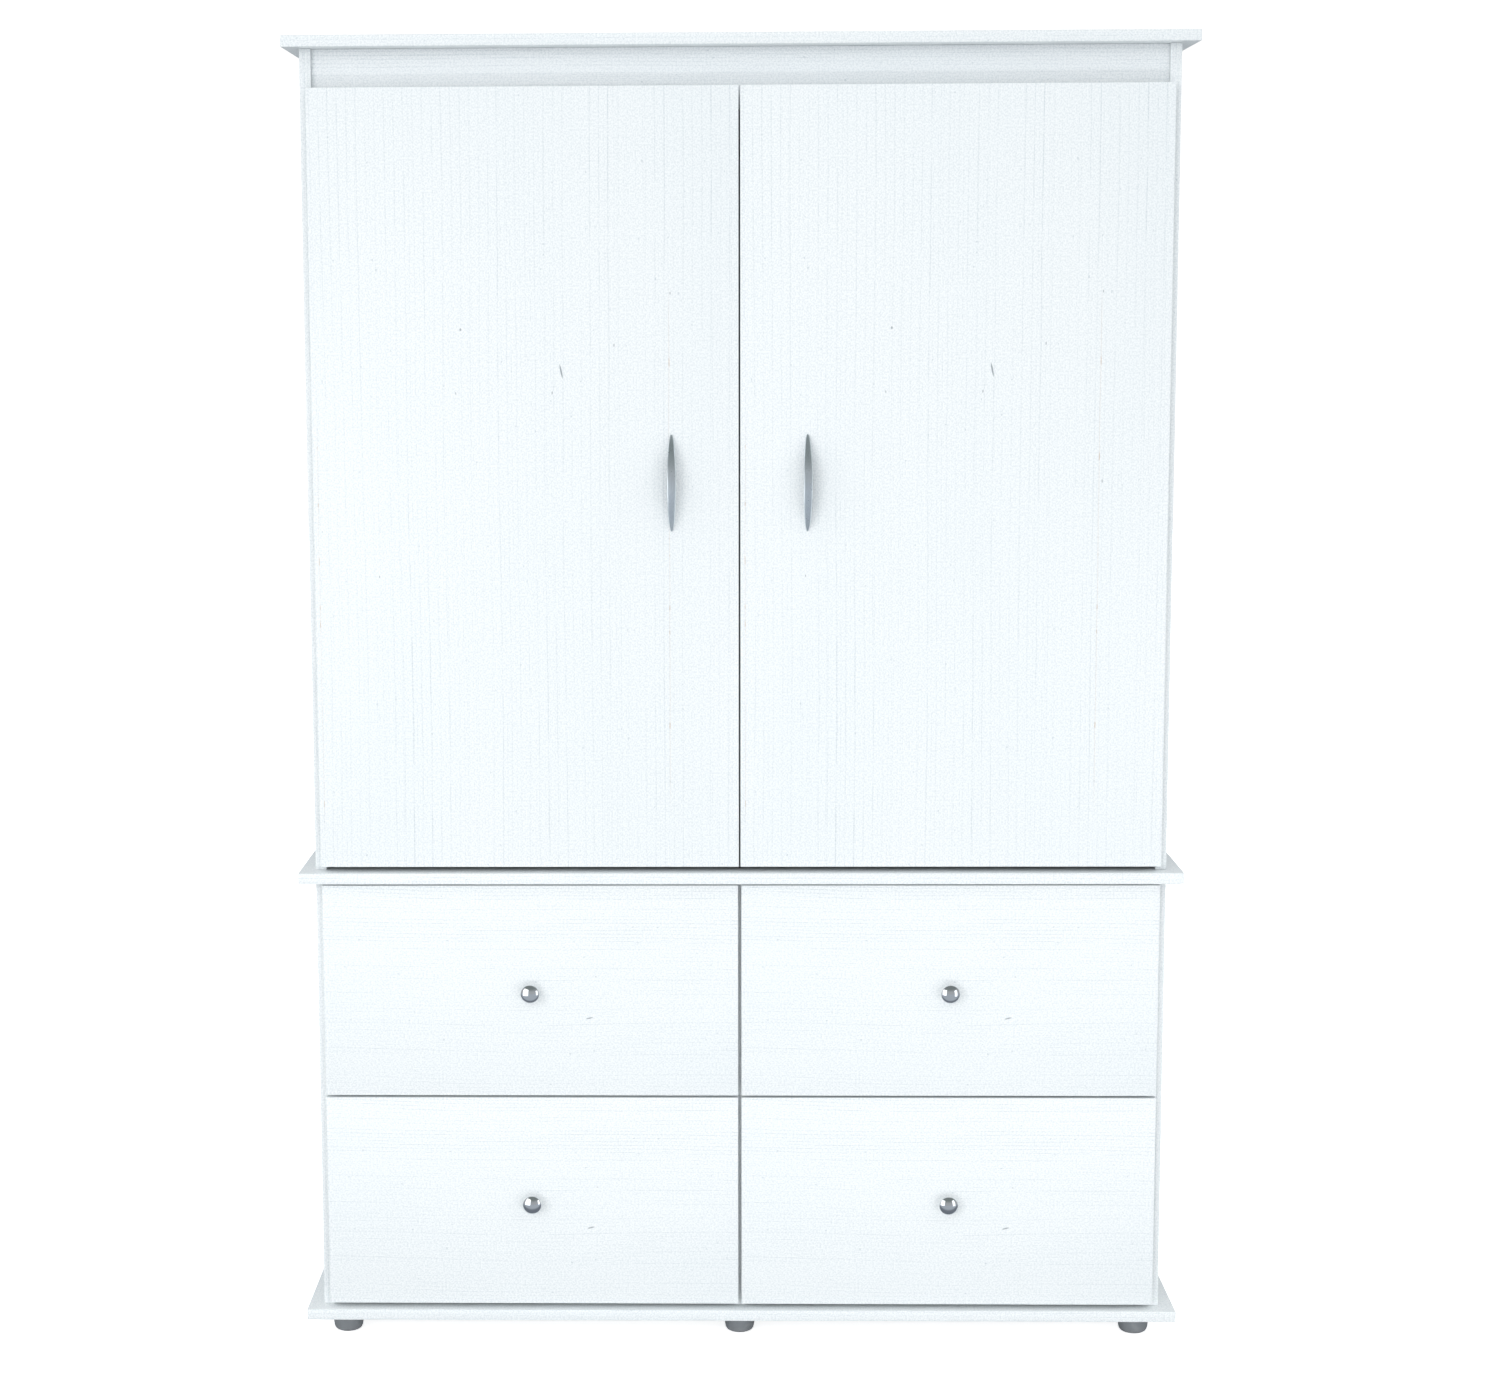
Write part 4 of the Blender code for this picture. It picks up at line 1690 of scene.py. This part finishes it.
@dataclass
class Hinges:
    """Finishes on the concealed hinges, and the screws of their plates."""

    box: Paintbox
    fixings: Fixings
    plate_rise: float = 0.0170
    plate_back: float = 0.0225
    plate_face: float = 0.0021
    web_face: float = 0.0114
    adjusters: tuple[float, float] = (0.0110, 0.0300)

    def build(self) -> None:
        """Dress the cups, links and arms, and set the arms' screws."""
        zinc = self.box.plain_finish("zinc_plate")
        places = []
        for side, sign in SIDES.items():
            for place_name in HINGE_PLACES:
                for part in ("cup", "link", "arm"):
                    dress_node(f"hinge_{part}_{side}_{place_name}", zinc)
                low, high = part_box(f"hinge_arm_{side}_{place_name}")
                wall = low.x if sign < 0 else high.x
                level = (low.z + high.z) / 2.0
                inward = Vector((-sign, 0, 0))
                y = high.y - self.plate_back
                for rise in (-self.plate_rise, self.plate_rise):
                    at = Vector((wall - sign * self.plate_face, y, level + rise))
                    places.append(Place(at, inward))
                for back in self.adjusters:
                    at = Vector((wall - sign * self.web_face, high.y - back, level))
                    places.append(Place(at, inward))
        self.fixings.set_screws("hinge_arm_screws", "carcass", places, HINGE_SEED)


def dress_node(name: str, finish: bpy.types.Material) -> None:
    """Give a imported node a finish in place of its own.

    Args:
        name: The node.
        finish: The finish.
    """
    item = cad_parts[name]
    for place in item.material_slots:
        place.material = finish
    log.info("%s: dressed in %s", name, finish.name)


# ---- drawers ----
@dataclass
class Knob:
    """A domed chrome knob on a slim neck."""

    box: Paintbox
    segments: int = 56
    neck: float = 0.0050
    foot: float = 0.0070
    crown: float = 0.225

    def build(self, tag: str, body: str) -> None:
        """Turn one knob where its node stands.

        Args:
            tag: Which drawer it is on.
            body: The drawer's body.
        """
        name = f"drawer_knob_{tag}"
        low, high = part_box(name)
        centre = (low + high) / 2.0
        radius = (high.x - low.x) / 2.0
        tall = high.y - low.y
        crown = tall * self.crown
        ball = (radius * radius + crown * crown) / (2.0 * crown)
        steep = math.asin(radius / ball)
        cap = []
        for step in range(1, 17):
            angle = steep * (1.0 - step / 16.5)
            cap.append((ball * math.sin(angle), tall - ball * (1.0 - math.cos(angle))))
        profile = rounded_profile(
            [
                (self.foot, 0.0), (self.foot, 0.0012), (self.neck + 0.0006, 0.0030),
                (self.neck, tall * 0.30), (self.neck + 0.0008, tall * 0.43),
                (radius - 0.0022, tall * 0.58), (radius, tall - crown - 0.0016),
                (radius, tall - crown), cap[0],
            ],
            0.0007,
        )
        profile += [*cap[1:], (0.0004, tall)]
        place = facing(Vector((0, -1, 0)), Vector((centre.x, high.y, centre.z)))
        bm = rings_shape(lathe_rings(profile, self.segments, place))
        chrome = self.box.several("polished_chrome")
        Piece(f"{name}_turned", body, "chrome", chrome, [name]).settle_bm(bm, 60.0)


@dataclass
class Drawer:
    """One drawer: front, knob, wrapped box, floor and its runners."""

    box: Paintbox
    fixings: Fixings
    side: str
    level: str
    ease: float = 0.0005
    lip: float = 0.0018
    wrap: float = 0.012
    runner_half: float = 0.0152
    runner_gauge: float = 0.0010
    runner_depth: float = 0.0086
    runner_gap: float = 0.0002
    runner_back: float = 0.004
    front_seed: float = 31.0
    floor_seed: float = 82.0

    @property
    def tag(self) -> str:
        """Return the drawer's part of its nodes' names."""
        return f"{self.level}_{self.side}"

    @property
    def body(self) -> str:
        """Return the drawer's body."""
        return f"{self.level}_{self.side}_drawer"

    def build(self) -> None:
        """Build the drawer and dress its slides."""
        self._front()
        Knob(self.box).build(self.tag, self.body)
        self._box()
        self._floor()
        self._runners()
        self._screws()

    def _front(self) -> None:
        """Build the drawer front with its grain across."""
        name = f"drawer_front_{self.tag}"
        low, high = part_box(name)
        bm = board_shape(low, high, self.ease)
        paint_by_facing(bm, SLAB_FACES)
        print_on = Whitewash(
            Grain.ACROSS,
            tuple(low),
            self.front_seed,
            gap=0.0053,
            line=0.0009,
            depth=0.36,
            run=9.0,
            sway=0.034,
            tilt=0.012,
            flecks=DRAWER_FLECKS,
        )
        edges = self.box.several("edge_band", "arris")
        finishes = [self.box.whitewash(name, print_on), *edges]
        Piece(f"{name}_slab", self.body, "whitewashed_board", finishes, [name]).settle_bm(bm)

    def _box(self) -> None:
        """Build the sides and back in one, with rounded upper edges."""
        name = f"drawer_box_{self.tag}"
        low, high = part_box(name)
        thick = self.wrap
        outline = [
            (low.x, low.y), (low.x + thick, low.y), (low.x + thick, high.y - thick),
            (high.x - thick, high.y - thick), (high.x - thick, low.y), (high.x, low.y),
            (high.x, high.y), (low.x, high.y),
        ]
        rings = [[Vector((x, y, z)) for x, y in outline] for z in (low.z, high.z)]
        bm = rings_shape(rings, smooth=False)
        rim = [
            edge
            for edge in bm.edges
            if all(abs(v.co.z - high.z) < HAIR for v in edge.verts)
            and not all(abs(v.co.y - low.y) < HAIR for v in edge.verts)
        ]
        bmesh.ops.bevel(
            bm, geom=rim, offset=self.lip, segments=4, profile=0.5, affect="EDGES"
        )
        finishes = self.box.several("foil_wrap")
        Piece(f"{name}_wrap", self.body, "drawer_wrap", finishes, [name]).settle_bm(bm)

    def _floor(self) -> None:
        """Build the thin floor, printed on its upper face."""
        name = f"drawer_floor_{self.tag}"
        low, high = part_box(name)
        seed = self.floor_seed
        print_on = Whitewash(Grain.ACROSS, tuple(low), seed, gap=0.006, depth=0.26)
        bm = board_shape(low, high, SHEET_EASE, 2)
        paint_by_facing(bm, [((0, 0, 1), PRINT)], 1)
        coat = self.box.several("hardboard")
        finishes = [self.box.whitewash("drawer_floors", print_on), *coat]
        Piece(f"{name}_sheet", self.body, "back_hardboard", finishes, [name]).settle_bm(bm)

    def _runners(self) -> None:
        """Build the channels on the drawer's sides, which run inside the cabinet's."""
        low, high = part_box(f"drawer_box_{self.tag}")
        for name in RAIL_SIDES:
            node = f"slide_rail_{self.tag}_{name}"
            rail_low, rail_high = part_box(node)
            level = (rail_low.z + rail_high.z) / 2.0
            near_low = rail_high.x < (low.x + high.x) / 2.0
            seat = low.x - self.runner_gap if near_low else high.x + self.runner_gap
            out = -1.0 if near_low else 1.0
            half, gauge, depth = self.runner_half, self.runner_gauge, self.runner_depth
            outline = [
                (0.0, -half), (depth, -half), (depth, -half + gauge), (gauge, -half + gauge),
                (gauge, half - gauge), (depth, half - gauge), (depth, half), (0.0, half),
            ]
            rings = [
                [Vector((seat + out * x, y, level + z)) for x, z in outline]
                for y in (low.y + self.runner_back, high.y)
            ]
            zinc = self.box.several("zinc_plate")
            runner = Piece(f"drawer_runner_{self.tag}_{name}", self.body, "zinc_steel", zinc)
            runner.settle_bm(rings_shape(rings, smooth=False))
            dress_node(node, zinc[0])

    def _screws(self) -> None:
        """Set the knob's screw behind the front."""
        low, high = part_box(f"drawer_front_{self.tag}")
        centre = (low + high) / 2.0
        places = [Place(Vector((centre.x, high.y, centre.z)), Vector((0, 1, 0)))]
        self.fixings.set_screws(f"drawer_{self.tag}_screw", self.body, places, DRAWER_SEED)


@dataclass
class SlideScrews:
    """The screws that hold the cabinet's channels to its walls."""

    box: Paintbox
    fixings: Fixings
    web: float = 0.0014
    from_ends: tuple[float, ...] = (0.037, 0.220, 0.402)

    def build(self) -> None:
        """Set three screws in each channel."""
        places = []
        for level in LEVELS:
            for side in SIDES:
                box_low, box_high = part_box(f"drawer_box_{level}_{side}")
                middle = (box_low.x + box_high.x) / 2.0
                for name in RAIL_SIDES:
                    low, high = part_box(f"slide_rail_{level}_{side}_{name}")
                    out = 1.0 if high.x < middle else -1.0
                    face = low.x + self.web if out > 0 else high.x - self.web
                    for back in self.from_ends:
                        at = Vector((face, low.y + back, (low.z + high.z) / 2.0))
                        places.append(Place(at, Vector((out, 0, 0))))
        self.fixings.set_screws("slide_screws", "carcass", places, SLIDE_SEED)


# ---- studio ----
@dataclass(frozen=True)
class Softbox:
    """One soft light: where it stands, what it looks at, its size and its power."""

    name: str
    at: Triple
    looks_at: Triple
    width: float
    height: float
    power: float
    colour: Triple = (1.0, 1.0, 1.0)
    lights: bool = True
    mirrored: bool = False


@dataclass
class Studio:
    """A pale floor, soft lights and the camera."""

    camera_at: Triple = (-0.04387, -3.86104, 1.41159)
    pitch: float = -7.308
    yaw: float = 1.227
    roll: float = -0.276
    lens: float = 65.376
    shift: tuple[float, float] = (0.0673, -0.01785)
    room: float = 0.635
    room_front: float = 0.42
    room_back: float = 0.28
    room_right: float = 0.03
    room_top: float = 0.34
    room_colour: Triple = (0.955, 0.985, 1.0)
    shine_level: Triple = (0.385, 0.400, 0.415)
    shine_high: Triple = (0.185, 0.210, 0.208)
    shine_floor: Triple = (0.392, 0.430, 0.475)
    # Floor colour seen in reflections close to the cabinet, darker: a painted shadow of the
    # cabinet.
    near_painted_shadow: Triple = (0.165, 0.185, 0.215)
    bounce: Triple = (0.56, 0.57, 0.58)
    floor_half: float = 14.0
    lights: tuple[Softbox, ...] = field(
        default_factory=lambda: (
            Softbox("key", (-4.6, -10.0, 3.5), (0.0, -0.2, 0.9), 5.0, 4.0, 223.0),
            Softbox("low_fill", (0.3, -2.3, 0.14), (0.05, -0.2, 0.20), 2.9, 0.3, 13.0),
            Softbox(
                "left_card", (-1.16, -1.22, 0.77), (-0.25, -0.25, 0.70), 1.25, 1.5, 7.4,
                lights=False, mirrored=True,
            ),
            Softbox(
                "right_card", (1.20, -0.98, 0.55), (0.0, -0.25, 0.45), 0.50, 1.06, 2.1,
                lights=False, mirrored=True,
            ),
        )
    )

    def build(self) -> None:
        """Build the floor, the lights, the surroundings and the camera."""
        self._floor()
        self._surroundings()
        for light in self.lights:
            self._light(light)
        self._camera()

    def _floor(self) -> None:
        """Lay the floor, which looks pale, throws little light upwards and, in reflections,
        carries a painted shadow near the cabinet.
        """
        half = self.floor_half
        mesh = bpy.data.meshes.new("studio_floor")
        corners = [(-half, -half, 0.0), (half, -half, 0.0), (half, half, 0.0), (-half, half, 0.0)]
        mesh.from_pydata(corners, [], [(0, 1, 2, 3)])
        material = bpy.data.materials.new("studio_floor")
        material.use_nodes = True
        tree = NodeTree(material.node_tree)
        tree.tree.nodes.clear()
        where = tree.signal("ShaderNodeTexCoord", None, None, "Object")
        mottle = tree.noise(where, 4.0)
        tone = tree.blend(mottle, (0.93, 0.93, 0.93), (0.95, 0.95, 0.95))
        seen = tree.signal("ShaderNodeBsdfDiffuse", None, {"Color": tone})
        glow = tree.signal(
            "ShaderNodeEmission", None, {"Color": (1.0, 1.0, 1.0, 1.0), "Strength": 0.80}
        )
        pale = tree.signal("ShaderNodeAddShader", None, {0: seen, 1: glow})
        dull = tree.signal("ShaderNodeBsdfDiffuse", None, {"Color": (*self.bounce, 1.0)})
        # Seen in reflections, the floor within about half a metre of the cabinet is painted
        # darker: a painted shadow of the cabinet.
        _, y, _ = tree.split(where)
        shine = tree.blend(tree.ease(y, -0.37, -0.58), self.near_painted_shadow, self.shine_floor)
        mirrored = tree.signal("ShaderNodeEmission", None, {"Color": shine, "Strength": 1.0})
        glossy = tree.signal("ShaderNodeLightPath", None, None, "Is Glossy Ray")
        direct = tree.signal("ShaderNodeLightPath", None, None, "Is Camera Ray")
        unseen = tree.signal("ShaderNodeMixShader", None, {0: glossy, 1: dull, 2: mirrored})
        mixed = tree.signal("ShaderNodeMixShader", None, {0: direct, 1: unseen, 2: pale})
        tree.node("ShaderNodeOutputMaterial", None, {"Surface": mixed})
        mesh.materials.append(material)
        floor = bpy.data.objects.new("studio_floor", mesh)
        bpy.context.scene.collection.objects.link(floor)

    def _surroundings(self) -> None:
        """Set a white background over a soft room that is brighter in front."""
        world = bpy.data.worlds.new("studio")
        bpy.context.scene.world = world
        world.use_nodes = True
        tree = NodeTree(world.node_tree)
        tree.tree.nodes.clear()
        way = tree.signal("ShaderNodeTexCoord", None, None, "Generated")
        x, y, z = tree.split(way)
        front, back, right = (-y).at_least(0.0), y.at_least(0.0), x.at_least(0.0)
        ring = front * self.room_front + back * self.room_back + right * self.room_right
        dome = (ring + self.room) * (1.0 + z.at_least(0.0) * self.room_top)
        room = tree.signal(
            "ShaderNodeBackground", None, {"Color": (*self.room_colour, 1.0), "Strength": dome}
        )
        shine = tree.blend(tree.ease(z, 0.24, 0.74), self.shine_level, self.shine_high)
        mirrored = tree.signal(
            "ShaderNodeBackground", None, {"Color": shine, "Strength": 1.0}
        )
        white = tree.signal(
            "ShaderNodeBackground", None, {"Color": (1.0, 1.0, 1.0, 1.0), "Strength": 1.1}
        )
        glossy = tree.signal("ShaderNodeLightPath", None, None, "Is Glossy Ray")
        direct = tree.signal("ShaderNodeLightPath", None, None, "Is Camera Ray")
        lit = tree.signal("ShaderNodeMixShader", None, {0: glossy, 1: room, 2: mirrored})
        mixed = tree.signal("ShaderNodeMixShader", None, {0: direct, 1: lit, 2: white})
        tree.node("ShaderNodeOutputWorld", None, {"Surface": mixed})

    def _light(self, light: Softbox) -> None:
        """Hang one soft light."""
        data = bpy.data.lights.new(light.name, "AREA")
        data.shape = "RECTANGLE"
        data.size, data.size_y = light.width, light.height
        data.energy = light.power
        data.color = light.colour
        item = bpy.data.objects.new(light.name, data)
        item.location = light.at
        way = Vector(light.looks_at) - Vector(light.at)
        item.rotation_euler = way.to_track_quat("-Z", "Y").to_euler()
        item.visible_glossy = light.mirrored
        item.visible_diffuse = light.lights
        item.visible_camera = False
        bpy.context.scene.collection.objects.link(item)

    def _camera(self) -> None:
        """Stand the camera in front, a little above the middle."""
        data = bpy.data.cameras.new("studio_camera")
        data.lens = self.lens
        data.sensor_width = 36.0
        data.shift_x, data.shift_y = self.shift
        data.clip_start, data.clip_end = 0.05, 60.0
        item = bpy.data.objects.new("studio_camera", data)
        turn = (
            Matrix.Rotation(math.radians(self.yaw), 3, "Z")
            @ Matrix.Rotation(math.radians(90.0 + self.pitch), 3, "X")
            @ Matrix.Rotation(math.radians(self.roll), 3, "Z")
        )
        item.location = self.camera_at
        item.rotation_euler = turn.to_euler()
        scene = bpy.context.scene
        scene.collection.objects.link(item)
        scene.camera = item
        scene.view_settings.view_transform = "Standard"
        scene.view_settings.look = "None"


def main() -> None:
    """Build the armoire, piece by piece, and stand it in the studio."""
    logging.basicConfig(level=logging.INFO, format="%(name)s %(message)s")
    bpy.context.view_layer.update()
    box = Paintbox()
    fixings = Fixings(box)
    Carcass(box, fixings).build()
    Feet(box).build()
    Rod(box, fixings).build()
    for side in SIDES:
        Door(box, fixings, side).build()
    Hinges(box, fixings).build()
    for level in LEVELS:
        for side in SIDES:
            Drawer(box, fixings, side, level).build()
    SlideScrews(box, fixings).build()
    Studio().build()


if __name__ == "__main__":
    main()
